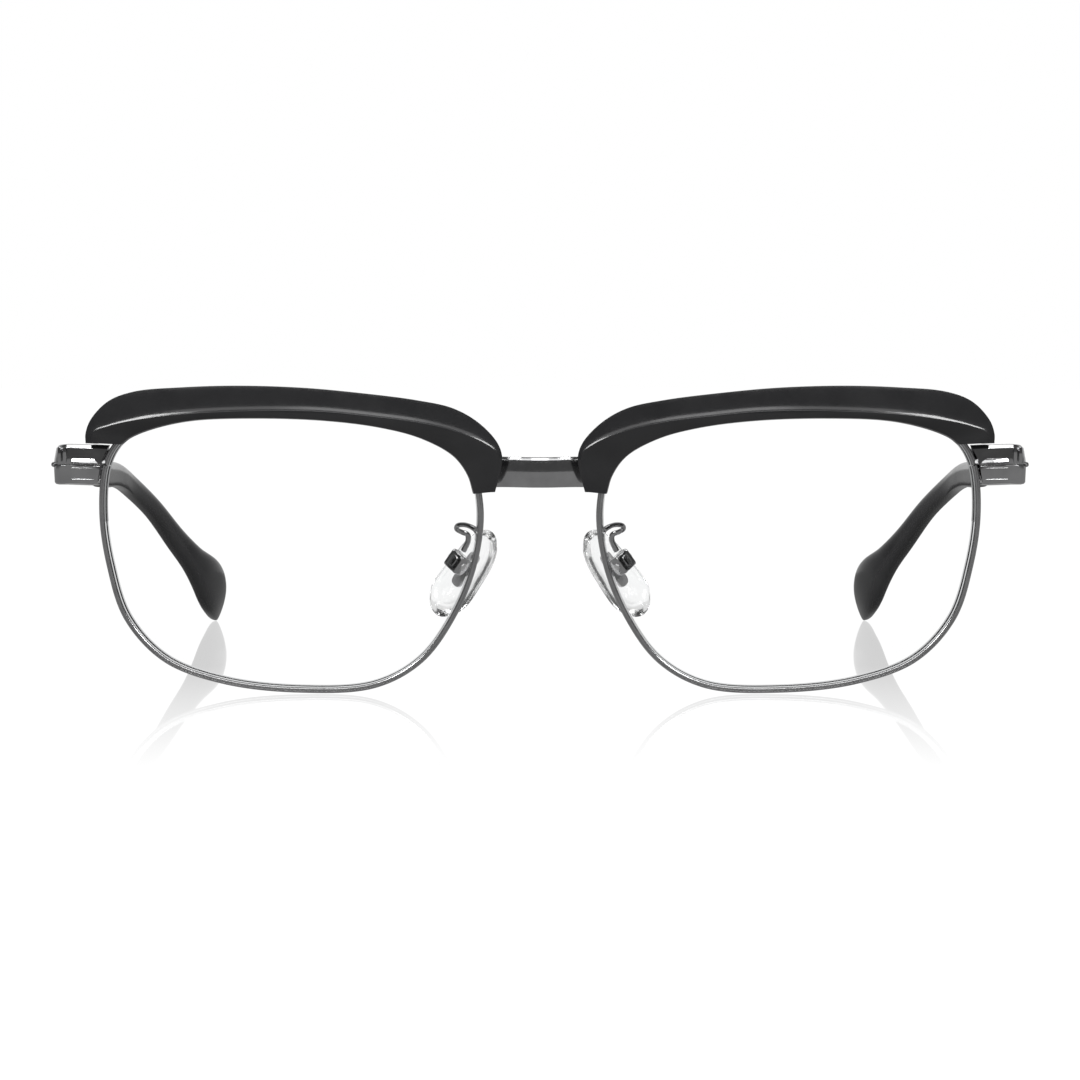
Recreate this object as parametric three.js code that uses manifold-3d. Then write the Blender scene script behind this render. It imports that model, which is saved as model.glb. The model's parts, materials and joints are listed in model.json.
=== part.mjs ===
// Browline eyeglasses: two metal rims under black brow bars, with adjustable nose pads and
// folding temples. Millimetres, +Z up. +X is the wearer's left, the lenses face -Y, and the
// temples run back to +Y. The glasses stand open on a flat surface, on the bottoms of their
// rims and on their temple tips. Each side is drawn as the +X side, and the other is its mirror.

import * as THREE from "three";
import { mergeVertices } from "three/addons/utils/BufferGeometryUtils.js";
import Module from "manifold-3d";

const wasm = await Module();
wasm.setup();

// ---------------------------------------------------------------- driving dimensions

const LENS_CENTRE_X = 35.75; // half the distance between the two lens centres
const LENS_CENTRE_Z = 20.0; // height of the lens centres in the front's own frame
const FACE_RADIUS = 115; // curve of the lenses and of the rims that hold them
const FACE_WRAP = THREE.MathUtils.degToRad(4); // each lens turns back towards its temple
const PANTOSCOPIC_TILT = THREE.MathUtils.degToRad(8); // between the front and the temples

const RIM_STEPS = 64;
const RIM_INNER = 0.42; // from the middle line of the rim wire towards the lens
const RIM_OUTER = 0.42;
const RIM_HALF_DEPTH = 0.8;
const RIM_EDGE_DEPTH = -0.6; // the rim's outer face ends here, at its front
const RIM_GROOVE = 0.3; // depth of the groove that holds the lens, and half its width
const RIM_SLIT = 0.1; // half the slit in the rim, which the rim lock closes

const LENS_HALF_THICKNESS = 0.65;
const FIT = 0.08; // clearance between pieces that touch or are soldered together

const BROW_START = 0.0278; // the brow's two ends, as a fraction of the way round the rim
const BROW_END = 0.3942;
const BROW_STEPS = 30;
const BROW_RIDGE_DEPTH = -2.95; // the ridge is the foremost line of the brow
const BROW_END_TAPER = 0.4; // how much less it stands out at the brow's two ends
const BROW_WALL_DEPTH = -RIM_HALF_DEPTH - 0.12; // back of the front wall, which hides the rim
const BROW_BACK_DEPTH = 2.2; // back of the top wall, which lies on the rim
const BROW_CHANNEL = RIM_OUTER + 0.12;

const BRIDGE_Z = 31.7;
const BRIDGE_HALF_HEIGHT = 2.2;
const BRIDGE_THICKNESS = 1.5;

const ENDPIECE_Z = 32.4;
const ENDPIECE_HALF_HEIGHT = 2.8;
const ENDPIECE_THICKNESS = 1.6;

const HINGE = new THREE.Vector3(67.3, 12, 31.55); // the temple's pivot, in the front's frame
const KNUCKLE_RADIUS = 1.2;
const HINGE_SCREW_RADIUS = 0.5;

const SLEEVE_LENGTH = 77; // acetate tip sleeve at the end of the temple
const CORE_END = 20; // from the tip's end back to the end of the core wire in it

const PAD_PIVOT = new THREE.Vector3(11.9, 7.8, 17.9);
const PAD_LONG_AXIS = new THREE.Vector3(0.57, 0.06, -0.82).normalize();
const PAD_SIDE_HINT = new THREE.Vector3(0.6, 0.71, 0.36);
const PAD_LENGTH = 14.4;
const PAD_WIDTH = 8;
const PAD_THICKNESS = 2.2;
const PAD_CENTRE = { long: 1.3, out: 3.0 }; // pad centre from its pivot
const INSERT = { long: 0.5, length: 5.8, width: 2.2, thickness: 0.5, out: 2.35 };

// ---------------------------------------------------------------- finishes

const finishes = {
  gunmetal: { color: 0x6f6f71, roughness: 0.28, metalness: 1 },
  acetate: { color: 0x151516, roughness: 0.22, metalness: 0 },
  lens: { color: 0xf4f8fa, roughness: 0.02, metalness: 0, transparent: true, opacity: 0.12 },
  silicone: { color: 0xe4e6e6, roughness: 0.3, metalness: 0, transparent: true, opacity: 0.55 },
  steel: { color: 0x8a8a8c, roughness: 0.3, metalness: 1 },
};

function piece(name, geometry, finish) {
  const mesh = new THREE.Mesh(geometry, new THREE.MeshStandardMaterial(finishes[finish]));
  mesh.name = name;
  return mesh;
}

// ---------------------------------------------------------------- mesh helpers

const vec = (x, y, z) => new THREE.Vector3(x, y, z);

function signedVolume(points, index) {
  let sum = 0;
  for (let i = 0; i < index.length; i += 3) {
    const cross = new THREE.Vector3().crossVectors(points[index[i + 1]], points[index[i + 2]]);
    sum += points[index[i]].dot(cross);
  }
  return sum / 6;
}

// A flat outline's triangles, found in the plane that the outline lies nearest to.
function capTriangles(ring) {
  const normal = new THREE.Vector3();
  ring.forEach((p, i) => normal.add(new THREE.Vector3().crossVectors(p, ring[(i + 1) % ring.length])));
  normal.normalize();
  const side = vec(normal.y, normal.z, normal.x).cross(normal).normalize();
  const up = new THREE.Vector3().crossVectors(normal, side);
  const flat = ring.map((p) => new THREE.Vector2(p.dot(side), p.dot(up)));
  return THREE.ShapeUtils.triangulateShape(flat, []);
}

// One closed body through a row of rings, each with the same number of points. A closed loft
// joins its last ring to its first, and an open one has a flat cap at each end.
function loft(rings, closed = false) {
  const count = rings[0].length;
  const points = rings.flat();
  const index = [];
  const spans = closed ? rings.length : rings.length - 1;
  for (let r = 0; r < spans; r++) {
    const here = r * count;
    const next = ((r + 1) % rings.length) * count;
    for (let k = 0; k < count; k++) {
      const l = (k + 1) % count;
      index.push(here + k, here + l, next + l);
      index.push(here + k, next + l, next + k);
    }
  }
  if (!closed) {
    const last = (rings.length - 1) * count;
    for (const [a, b, c] of capTriangles(rings[0])) {
      index.push(c, b, a);
    }
    for (const [a, b, c] of capTriangles(rings[rings.length - 1])) {
      index.push(last + a, last + b, last + c);
    }
  }
  if (signedVolume(points, index) < 0) {
    index.reverse();
  }
  const geometry = new THREE.BufferGeometry().setFromPoints(points);
  geometry.setIndex(index);
  return geometry;
}

function welded(geometry) {
  const bare = geometry.clone();
  bare.deleteAttribute("normal");
  bare.deleteAttribute("uv");
  return mergeVertices(bare, 1e-5);
}

function toSolid(geometry) {
  const bare = welded(geometry);
  const vertProperties = new Float32Array(bare.attributes.position.array);
  const triVerts = new Uint32Array(bare.index.array);
  return new wasm.Manifold(new wasm.Mesh({ numProp: 3, vertProperties, triVerts }));
}

function toGeometry(solid) {
  const mesh = solid.getMesh();
  const geometry = new THREE.BufferGeometry();
  geometry.setAttribute("position", new THREE.BufferAttribute(mesh.vertProperties, 3));
  geometry.setIndex(new THREE.BufferAttribute(mesh.triVerts, 1));
  return geometry;
}

const cut = (body, ...tools) =>
  toGeometry(tools.reduce((solid, tool) => solid.subtract(toSolid(tool)), toSolid(body)));
const join = (...bodies) => toGeometry(bodies.map(toSolid).reduce((a, b) => a.add(b)));

// Moves a geometry into the frame given by an origin and two of its axes.
function place(geometry, origin, xAxis, zAxis) {
  const z = zAxis.clone().normalize();
  const x = xAxis.clone().addScaledVector(z, -xAxis.dot(z)).normalize();
  const y = new THREE.Vector3().crossVectors(z, x);
  const matrix = new THREE.Matrix4().makeBasis(x, y, z).setPosition(origin);
  return geometry.clone().applyMatrix4(matrix);
}

// A turned pin or screw along +Z, from a list of [radius, height] steps.
function turned(steps, sides = 10) {
  const profile = [new THREE.Vector2(0, steps[0][1])];
  for (const [radius, height] of steps) {
    profile.push(new THREE.Vector2(radius, height));
  }
  profile.push(new THREE.Vector2(0, steps[steps.length - 1][1]));
  return new THREE.LatheGeometry(profile, sides).rotateX(Math.PI / 2);
}

const headedScrew = (radius, length, headRadius, headHeight) =>
  turned([[radius, 0], [radius, length], [headRadius, length], [headRadius, length + headHeight]]);

const drill = (radius, length) => turned([[radius, 0], [radius, length]]);

function block(width, depth, height, x, y, z) {
  return new THREE.BoxGeometry(width, depth, height).translate(x, y, z);
}

// ---------------------------------------------------------------- the front's shape

// Middle line of the rim wire as seen from the front, from the slit at the temple side, over
// the brow to the nose, and back along the bottom: [towards the temple, up] from the lens centre.
const RIM_OUTLINE = [
  [26.6, 12.4], [24.9, 15.6], [21.7, 18.1], [16.0, 19.65], [6, 20.3],
  [-5, 20.0], [-14, 18.75], [-21.1, 16.5], [-25.6, 12.8], [-27.2, 6.7],
  [-26.25, -1.35], [-23.1, -9.1], [-18.5, -15.35], [-12.05, -18.9], [-1.5, -19.65],
  [10, -18.5], [18.35, -15.5], [23.75, -9.7], [26.2, -2.0], [27.2, 5.5],
];
const RIM_CURVE = new THREE.CatmullRomCurve3(
  RIM_OUTLINE.map(([u, v]) => vec(u, 0, v)), true, "centripetal");

// How far the lens surface lies behind its centre.
const faceDepth = (u, v) => (u * u + v * v) / (2 * FACE_RADIUS) + u * Math.tan(FACE_WRAP);

// The frame of the rim's section at a fraction of the way round: a point on the wire's middle
// line, the direction away from the lens, and the direction to the back. The section may be
// turned about the back direction, by turn.
function rimFrame(fraction, turn = 0) {
  const p = RIM_CURVE.getPointAt(fraction);
  const tangent = RIM_CURVE.getTangentAt(fraction);
  const slopeU = p.x / FACE_RADIUS + Math.tan(FACE_WRAP);
  const slopeV = p.z / FACE_RADIUS;
  const outFlat = vec(tangent.z, 0, -tangent.x).applyAxisAngle(vec(0, 1, 0), turn);
  const out = vec(outFlat.x, outFlat.x * slopeU + outFlat.z * slopeV, outFlat.z).normalize();
  const back = vec(-slopeU, 1, -slopeV).normalize();
  const point = vec(LENS_CENTRE_X + p.x, faceDepth(p.x, p.z), LENS_CENTRE_Z + p.z);
  return { point, out, back };
}

const onFrame = ({ point, out, back }, a, b) =>
  point.clone().addScaledVector(out, a).addScaledVector(back, b);

// Places a geometry drawn at the rim: x away from the lens, z to the front.
function atRim(geometry, fraction, a, b) {
  const frame = rimFrame(fraction);
  return place(geometry, onFrame(frame, a, b), frame.out, frame.back.clone().negate());
}

// ---------------------------------------------------------------- rims and lenses

function rim() {
  const section = [
    [RIM_OUTER, RIM_EDGE_DEPTH], [RIM_OUTER, -RIM_EDGE_DEPTH], [0.2, RIM_HALF_DEPTH], [-0.2, RIM_HALF_DEPTH],
    [-RIM_INNER, -RIM_EDGE_DEPTH], [-RIM_INNER, RIM_GROOVE], [-RIM_INNER + RIM_GROOVE, 0],
    [-RIM_INNER, -RIM_GROOVE], [-RIM_INNER, RIM_EDGE_DEPTH], [-0.2, -RIM_HALF_DEPTH],
    [0.2, -RIM_HALF_DEPTH],
  ];
  const slit = RIM_SLIT / RIM_CURVE.getLength();
  const rings = [];
  for (let i = 0; i <= RIM_STEPS; i++) {
    const fraction = THREE.MathUtils.clamp(i / RIM_STEPS, slit, 1 - slit);
    const frame = rimFrame(fraction);
    rings.push(section.map(([a, b]) => onFrame(frame, a, b)));
  }
  return loft(rings);
}

// A meniscus with a bevelled edge that stands in the rim's groove. Each of its two faces is a
// set of rings shrinking to the middle, so the whole lens is one loft from front to back.
function lens() {
  const edge = -RIM_INNER - FIT;
  const shrink = [0.05, 0.5];
  const frames = [];
  for (let i = 0; i < RIM_STEPS; i++) {
    frames.push(rimFrame(i / RIM_STEPS));
  }
  const faceRing = (scale, depth) => frames.map((frame) => {
    const rimPoint = onFrame(frame, edge, 0);
    const u = (rimPoint.x - LENS_CENTRE_X) * scale;
    const v = (rimPoint.z - LENS_CENTRE_Z) * scale;
    return vec(LENS_CENTRE_X + u, faceDepth(u, v) + depth, LENS_CENTRE_Z + v);
  });
  const edgeRing = (a, b) => frames.map((frame) => onFrame(frame, a, b));
  return loft([
    ...shrink.map((scale) => faceRing(scale, -LENS_HALF_THICKNESS)),
    edgeRing(edge, -LENS_HALF_THICKNESS),
    edgeRing(edge, -RIM_GROOVE),
    edgeRing(edge + RIM_GROOVE, 0),
    edgeRing(edge, RIM_GROOVE),
    edgeRing(edge, LENS_HALF_THICKNESS),
    ...shrink.toReversed().map((scale) => faceRing(scale, LENS_HALF_THICKNESS)),
  ]);
}

// ---------------------------------------------------------------- brow bars

// Guide lines of the brow as seen from the front, from the temple to the nose: [towards the
// temple, up] from the lens centre.
const guideLine = (points) =>
  new THREE.CatmullRomCurve3(points.map(([u, v]) => vec(u, 0, v)), false, "centripetal");
const BROW_LOW_EDGE = guideLine([
  [23.9, 15.35], [22.7, 16.3], [19.6, 17.6], [14, 18.9], [5, 19.4], [-5, 19.15], [-13, 18.15],
  [-18.7, 16.6], [-23.2, 14.1], [-25.2, 11.4], [-26.0, 8.8],
]);
const BROW_RIDGE = guideLine([
  [28.2, 15.5], [27.6, 17.0], [25.5, 17.95], [21.5, 18.9], [16, 19.75], [6, 20.6], [-4, 20.65],
  [-12, 19.9], [-18, 19.05], [-23.2, 17.7], [-27.4, 15.7], [-29.3, 14.3], [-29.4, 12.3], [-28.8, 9.05],
]);
const BROW_TOP_EDGE = guideLine([
  [28.85, 15.35], [28.9, 16.6], [28.2, 18.6], [25.6, 21.3], [21.9, 22.75], [15, 23.5], [7, 23.85],
  [-2, 23.65], [-10, 22.95], [-18, 21.9], [-23, 20.75], [-26.6, 18.7], [-29.2, 15.9], [-29.9, 13.9],
  [-29.7, 12], [-28.9, 9.0],
]);
const BROW_FLARE = 0.12; // over this share of its length the temple end turns level
const BROW_TOP_SLOPE = 0.05; // the hollow upper face runs back at this rate
const BROW_FACE_SLOPE = 0.12;
const BROW_CREST = 0.24; // how far the ridge stands proud of the hollow face above it
const BROW_CREST_WIDTH = 0.5;
const BROW_NOSE_SHARE = 0.86; // past this the top wall gives way to the bridge

// A point that stands a depth behind the lens surface, along its normal.
function onSurface(flat, depth) {
  const back = vec(-flat.x / FACE_RADIUS - Math.tan(FACE_WRAP), 1, -flat.z / FACE_RADIUS).normalize();
  return vec(LENS_CENTRE_X + flat.x, faceDepth(flat.x, flat.z), LENS_CENTRE_Z + flat.z)
    .addScaledVector(back, depth);
}

// The section of the brow at a share of its length, with a channel that fits over the rim.
function browSection(share) {
  const fraction = THREE.MathUtils.lerp(BROW_START, BROW_END, share);
  const start = RIM_CURVE.getTangentAt(BROW_START);
  const turn = Math.atan2(-start.x, start.z) * (1 - THREE.MathUtils.smoothstep(share, 0, BROW_FLARE));
  const frame = rimFrame(fraction, turn);
  const channel = BROW_CHANNEL / Math.cos(turn);
  const noseEnd = THREE.MathUtils.smoothstep(share, BROW_NOSE_SHARE - 0.05, BROW_NOSE_SHARE);
  const backDepth = THREE.MathUtils.lerp(BROW_BACK_DEPTH, BROW_WALL_DEPTH + 0.05, noseEnd);
  const low = BROW_LOW_EDGE.getPointAt(share);
  const ridge = BROW_RIDGE.getPointAt(share);
  const top = BROW_TOP_EDGE.getPointAt(share);
  const taper = THREE.MathUtils.smoothstep(Math.abs(share - 0.5), 0.35, 0.5);
  const ridgeDepth = BROW_RIDGE_DEPTH + BROW_END_TAPER * taper;
  const hollow = (t) => {
    const run = ridge.distanceTo(top) * t;
    const crest = BROW_CREST * (1 - Math.exp(-run / BROW_CREST_WIDTH));
    return onSurface(ridge.clone().lerp(top, t), ridgeDepth + BROW_TOP_SLOPE * run + crest);
  };
  return [
    onSurface(low, ridgeDepth + BROW_FACE_SLOPE * ridge.distanceTo(low)),
    hollow(0), hollow(0.2), hollow(1), onSurface(top, backDepth),
    onFrame(frame, channel, backDepth), onFrame(frame, channel, BROW_WALL_DEPTH),
    onSurface(low, BROW_WALL_DEPTH),
  ];
}

const BROW_TAB_FRACTION = 0.08;
const BROW_TAB_RISE = 2.0; // the outer brow screw's distance from the rim's middle line
const BROW_SCREW_RADIUS = 0.5;
const INNER_SCREW = vec(6.9, 0, 31.7);
const INNER_SCREW_TIP = 0.1; // depth of the screw's point in the brow's nose end

function brow() {
  const rings = [];
  for (let i = 0; i <= BROW_STEPS; i++) {
    rings.push(browSection(i / BROW_STEPS));
  }
  const hole = drill(BROW_SCREW_RADIUS + FIT, 4).translate(0, 0, -4);
  const outerHole = atRim(hole, BROW_TAB_FRACTION, BROW_TAB_RISE, -0.8);
  const innerHole = drill(BROW_SCREW_RADIUS + FIT, 4).rotateX(-Math.PI / 2);
  innerHole.translate(INNER_SCREW.x, INNER_SCREW_TIP - FIT, INNER_SCREW.z);
  return cut(loft(rings), outerHole, innerHole);
}

// A small plate soldered to the back of the rim. The outer brow screw passes through it.
function browTab() {
  const foot = RIM_HALF_DEPTH + FIT;
  const plate = BROW_BACK_DEPTH + FIT;
  const outline = [
    [-0.3, foot], [0.25, foot], [0.25, plate], [3.0, plate], [3.0, plate + 0.6], [-0.3, plate + 0.6],
  ];
  const shape = new THREE.Shape(outline.map(([a, b]) => new THREE.Vector2(a, b)));
  const body = new THREE.ExtrudeGeometry(shape, { depth: 3, bevelEnabled: false });
  body.translate(0, 0, -1.5).rotateX(-Math.PI / 2);
  const placed = atRim(body, BROW_TAB_FRACTION, 0, 0);
  const hole = drill(BROW_SCREW_RADIUS + FIT, 6).translate(0, 0, -6);
  return cut(placed, atRim(hole, BROW_TAB_FRACTION, BROW_TAB_RISE, 0));
}

function outerBrowScrew() {
  const head = BROW_BACK_DEPTH + 0.6 + 2 * FIT;
  const screw = headedScrew(BROW_SCREW_RADIUS, head + 0.7, 0.9, 0.45).rotateX(Math.PI);
  return atRim(screw, BROW_TAB_FRACTION, BROW_TAB_RISE, -0.7);
}

// ---------------------------------------------------------------- bridge

// Where the rim's outer edge crosses a height on the nose side.
function noseEdgeX(height) {
  let low = 0.325;
  let high = 0.425;
  for (let i = 0; i < 30; i++) {
    const middle = (low + high) / 2;
    const z = onFrame(rimFrame(middle), RIM_OUTER, RIM_EDGE_DEPTH).z;
    if (z > height) {
      low = middle;
    } else {
      high = middle;
    }
  }
  return onFrame(rimFrame(low), RIM_OUTER + 2 * FIT, RIM_EDGE_DEPTH).x;
}

// The bridge bows forward between the brows and lies behind their nose ends.
const bridgeDepth = (x) => 0.45 + 1.25 * THREE.MathUtils.smoothstep(Math.abs(x), 0.5, 6.5);

function bridge() {
  const h = BRIDGE_HALF_HEIGHT;
  const t = BRIDGE_THICKNESS;
  const section = [
    [h, 0.5], [h - 0.35, 0.08], [0.5, 0], [-h + 0.35, 0.05], [-h, 0.4],
    [-h, t - 0.3], [-h + 0.3, t], [h - 0.3, t], [h, t - 0.3],
  ];
  const rings = [];
  for (let i = -7; i <= 7; i++) {
    const share = i / 7;
    const arch = 0.15 * (1 - share * share);
    rings.push(section.map(([rise, depth]) => {
      const z = BRIDGE_Z + rise + arch;
      const x = share * noseEdgeX(z);
      return vec(x, bridgeDepth(x) + depth, z);
    }));
  }
  const hole = drill(BROW_SCREW_RADIUS + FIT, 8).rotateX(-Math.PI / 2);
  const holes = [-1, 1].map((side) => hole.clone().translate(side * INNER_SCREW.x, -2, INNER_SCREW.z));
  return cut(loft(rings), ...holes);
}

function innerBrowScrew() {
  const seat = bridgeDepth(INNER_SCREW.x) + BRIDGE_THICKNESS + 0.2;
  const screw = headedScrew(BROW_SCREW_RADIUS, seat - INNER_SCREW_TIP, 0.9, 0.45);
  return screw.rotateX(-Math.PI / 2).translate(INNER_SCREW.x, INNER_SCREW_TIP, INNER_SCREW.z);
}

// ---------------------------------------------------------------- endpieces and rim locks

// Where the rim's outer edge crosses a height on the temple side.
function templeEdge(height) {
  const points = [];
  for (let fraction = 0.93; fraction < 1.05; fraction += 0.01) {
    points.push(onFrame(rimFrame(fraction % 1), RIM_OUTER + 5 * FIT, RIM_EDGE_DEPTH));
  }
  const k = points.findIndex((p) => p.z > height);
  const share = (height - points[k - 1].z) / (points[k].z - points[k - 1].z);
  return points[k - 1].clone().lerp(points[k], share).x;
}

// The endpiece leaves the rim, turns the corner of the front in a round bend, and runs back to
// the hinge. Its face has an upper band, a raised rib and a lower band, and a collar at the bend.
const ENDPIECE_CORNER = 2.4;
const ENDPIECE_SIDE_X = 70.3;
const ENDPIECE_FRONT = [[61, 4.75], [64.5, 5.45], [ENDPIECE_SIDE_X - ENDPIECE_CORNER, 6.15]];

function endpieceStations() {
  const upFront = vec(0, 0, 1);
  const upTemple = vec(0, Math.sin(PANTOSCOPIC_TILT), Math.cos(PANTOSCOPIC_TILT));
  const stations = ENDPIECE_FRONT.map(([x, y]) =>
    ({ at: vec(x, y, ENDPIECE_Z), out: vec(0.15, -1, 0), up: upFront, collar: 0 }));
  const [cornerX, cornerY] = ENDPIECE_FRONT[2];
  for (let i = 1; i <= 5; i++) {
    const angle = (i / 5) * (Math.PI / 2);
    const x = cornerX + ENDPIECE_CORNER * Math.sin(angle);
    const y = cornerY + ENDPIECE_CORNER * (1 - Math.cos(angle));
    const out = vec(Math.sin(angle), -Math.cos(angle), 0);
    const up = upFront.clone().lerp(upTemple, i / 5).normalize();
    const z = ENDPIECE_Z - (y - cornerY) * Math.tan(PANTOSCOPIC_TILT);
    stations.push({ at: vec(x, y, z), out, up, collar: i === 1 || i === 2 ? 0.15 : 0 });
  }
  const toHinge = vec(0, Math.cos(PANTOSCOPIC_TILT), -Math.sin(PANTOSCOPIC_TILT));
  const end = vec(ENDPIECE_SIDE_X, HINGE.y, HINGE.z).addScaledVector(toHinge, -FIT);
  stations.push({ at: end, out: vec(1, 0, 0), up: upTemple, collar: 0 });
  return stations;
}

function endpiece() {
  const h = ENDPIECE_HALF_HEIGHT;
  const t = ENDPIECE_THICKNESS;
  const section = [
    [h, -0.75], [h - 0.42, -0.35], [0.95, -0.1], [0.9, -0.2], [0.1, 0.15], [0, -0.1],
    [-0.15, 0], [-h + 0.25, -0.12], [-h, -0.35], [-h, -t], [h, -t],
  ];
  const rings = endpieceStations().map(({ at, out, up, collar }, i) => section.map(([rise, proud]) => {
    const lift = rise > 0.3 && proud > -t ? collar : 0;
    const p = at.clone().addScaledVector(up, rise).addScaledVector(out, proud + lift);
    if (i === 0) {
      p.x = templeEdge(p.z);
    }
    return p;
  }));
  return loft(rings);
}

const LOCK_SIZE = { out: 1.6, tall: 2.0, deep: 1.6 };
const LOCK_OUT = 1.1; // middle of the lock blocks from the rim's middle line
const LOCK_SCREW_RADIUS = 0.45;

// One of the two blocks behind the rim that the lock screw draws together. side is 1 for the
// upper one and -1 for the lower one.
function rimLock(side) {
  const { out, tall, deep } = LOCK_SIZE;
  const body = block(out, tall, deep, 0, side * (tall / 2 + RIM_SLIT), 0);
  const hole = drill(LOCK_SCREW_RADIUS + FIT, 8).translate(0, 0, -4).rotateX(Math.PI / 2);
  return atRim(cut(body, hole), 0, LOCK_OUT, RIM_HALF_DEPTH + FIT + deep / 2);
}

function rimLockScrew() {
  const length = LOCK_SIZE.tall * 2 + 2 * RIM_SLIT - 0.2;
  const screw = headedScrew(LOCK_SCREW_RADIUS, length, 0.75, 0.4).translate(0, 0, -length / 2 + 0.2);
  const depth = RIM_HALF_DEPTH + FIT + LOCK_SIZE.deep / 2;
  return atRim(screw.rotateX(Math.PI / 2), 0, LOCK_OUT, depth);
}

// ---------------------------------------------------------------- nose pads

// The pad's own frame: x along the screw, which lies across the pad, y down along the pad, and
// z from the box towards the nose.
function atPad(geometry) {
  const towardsNose = new THREE.Vector3().crossVectors(PAD_SIDE_HINT, PAD_LONG_AXIS).normalize();
  const across = new THREE.Vector3().crossVectors(PAD_LONG_AXIS, towardsNose);
  return place(geometry, PAD_PIVOT, across, towardsNose);
}

function padBox() {
  const outer = block(2.7, 2.8, 2.2, 0, 0, 0);
  const well = block(1.7, 2.0, 2.4, 0, 0, 0.6);
  const holes = drill(0.43, 6).translate(0, 0, -3).rotateY(Math.PI / 2);
  return atPad(cut(outer, well, holes));
}

function padScrew() {
  const screw = headedScrew(0.35, 2.8, 0.65, 0.35).translate(0, 0, -1.38).rotateY(Math.PI / 2);
  return atPad(screw);
}

// A plate moulded into the pad, with a lug that the pad screw passes through.
function padInsert() {
  const lug = block(1.3, 1.1, 2.7, 0, 0, 0.85);
  const plate = block(INSERT.width, INSERT.length, INSERT.thickness, 0, INSERT.long, INSERT.out);
  const hole = drill(0.43, 6).translate(0, 0, -3).rotateY(Math.PI / 2);
  return atPad(cut(join(lug, plate), hole));
}

// Half the pad's width at a share of its length, from its narrow upper end at -1 to its lower
// end at 1.
const padHalfWidth = (share) =>
  (PAD_WIDTH / 2) * Math.sqrt(Math.max(0, 1 - share ** 4)) * (0.86 + 0.14 * share);

function nosePad() {
  const ball = new THREE.SphereGeometry(1, 20, 12).rotateX(Math.PI / 2);
  const position = ball.attributes.position;
  for (let i = 0; i < position.count; i++) {
    const p = new THREE.Vector3().fromBufferAttribute(position, i);
    const spread = Math.hypot(p.x, p.y);
    const share = spread > 1e-6 ? p.y : 0;
    const width = padHalfWidth(share) / Math.sqrt(Math.max(1e-6, 1 - share * share));
    const dome = p.z > 0 ? 0.62 : 0.38;
    position.setXYZ(i, p.x * Math.min(width, PAD_WIDTH / 2 * 1.15),
      PAD_CENTRE.long + p.y * PAD_LENGTH / 2,
      PAD_CENTRE.out + Math.sign(p.z) * Math.abs(p.z) ** 0.7 * dome * PAD_THICKNESS);
  }
  const pocketTop = INSERT.out + INSERT.thickness / 2 + FIT;
  const pocket = block(INSERT.width + 2 * FIT, INSERT.length + 2 * FIT, 2, 0, INSERT.long, pocketTop - 1);
  return atPad(cut(ball, pocket));
}

// The wire that carries the pad box, soldered to the back of the rim: it loops out towards the
// lens, comes back and drops to the box.
function padArm() {
  const route = new THREE.CatmullRomCurve3([
    vec(9.0, 2.3, 23.1), vec(9.2, 2.8, 23.3), vec(10.0, 3.6, 23.7), vec(11.0, 4.5, 23.85),
    vec(11.9, 5.3, 23.6), vec(12.0, 6.0, 23.0), vec(11.3, 6.5, 22.5), vec(10.5, 6.9, 22.1),
    vec(10.35, 7.1, 21.4), vec(10.6, 7.4, 20.6), vec(11.1, 7.6, 19.6),
  ]);
  const wire = new THREE.Shape().absarc(0, 0, 0.46, 0, 2 * Math.PI);
  return new THREE.ExtrudeGeometry(wire, { steps: 26, curveSegments: 4, extrudePath: route });
}

// ---------------------------------------------------------------- hinges and temples

// In the temple's own frame the hinge axis is the Z axis, and the temple runs back along +Y.

// One knuckle: a barrel between two heights, with a web to a plate on its outer side.
function knuckle(bottom, top, reach) {
  const shape = new THREE.Shape();
  shape.absarc(0, 0, KNUCKLE_RADIUS, 0, 2 * Math.PI);
  const bore = new THREE.Path().absarc(0, 0, HINGE_SCREW_RADIUS + FIT, 0, 2 * Math.PI);
  shape.holes.push(bore);
  const settings = { depth: top - bottom, bevelEnabled: false, curveSegments: 8 };
  const barrel = new THREE.ExtrudeGeometry(shape, settings).translate(0, 0, bottom);
  const length = Math.abs(reach) - 0.3;
  const web = block(0.55, length, top - bottom, 0.92, Math.sign(reach) * (0.3 + length / 2), (top + bottom) / 2);
  return join(barrel, web);
}

function hingeFront() {
  const plate = block(0.6, 2.6, 4.8, 0.95, -2.5, 0);
  return join(knuckle(0.85, 2.4, -2), knuckle(-2.4, -0.85, -2), plate);
}

function hingeTemple() {
  const plate = block(0.6, 4.2, 4.4, 0.95, 3.4, 0);
  return join(knuckle(-0.77, 0.77, 2), plate);
}

function hingeScrew() {
  const length = 4.9;
  return headedScrew(HINGE_SCREW_RADIUS, length, 0.95, 0.4).translate(0, 0, -length / 2 + 0.05);
}

const TEMPLE_PATH = new THREE.CatmullRomCurve3([
  vec(2.25, FIT, 0), vec(2.8, 25, 0), vec(3.0, 50, 0), vec(2.9, 72, 0), vec(2.4, 88, 0),
  vec(1.3, 98, -1.4), vec(-2.0, 106.1, -5.3), vec(-5.4, 112, -10.4), vec(-7.9, 115.7, -13.8),
  vec(-10.1, 119.5, -17.1), vec(-11.2, 123.1, -20.2), vec(-11.5, 126.7, -23.4),
], false, "centripetal");
const TEMPLE_LENGTH = TEMPLE_PATH.getLength();
const SLEEVE_START = TEMPLE_LENGTH - SLEEVE_LENGTH;

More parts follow.
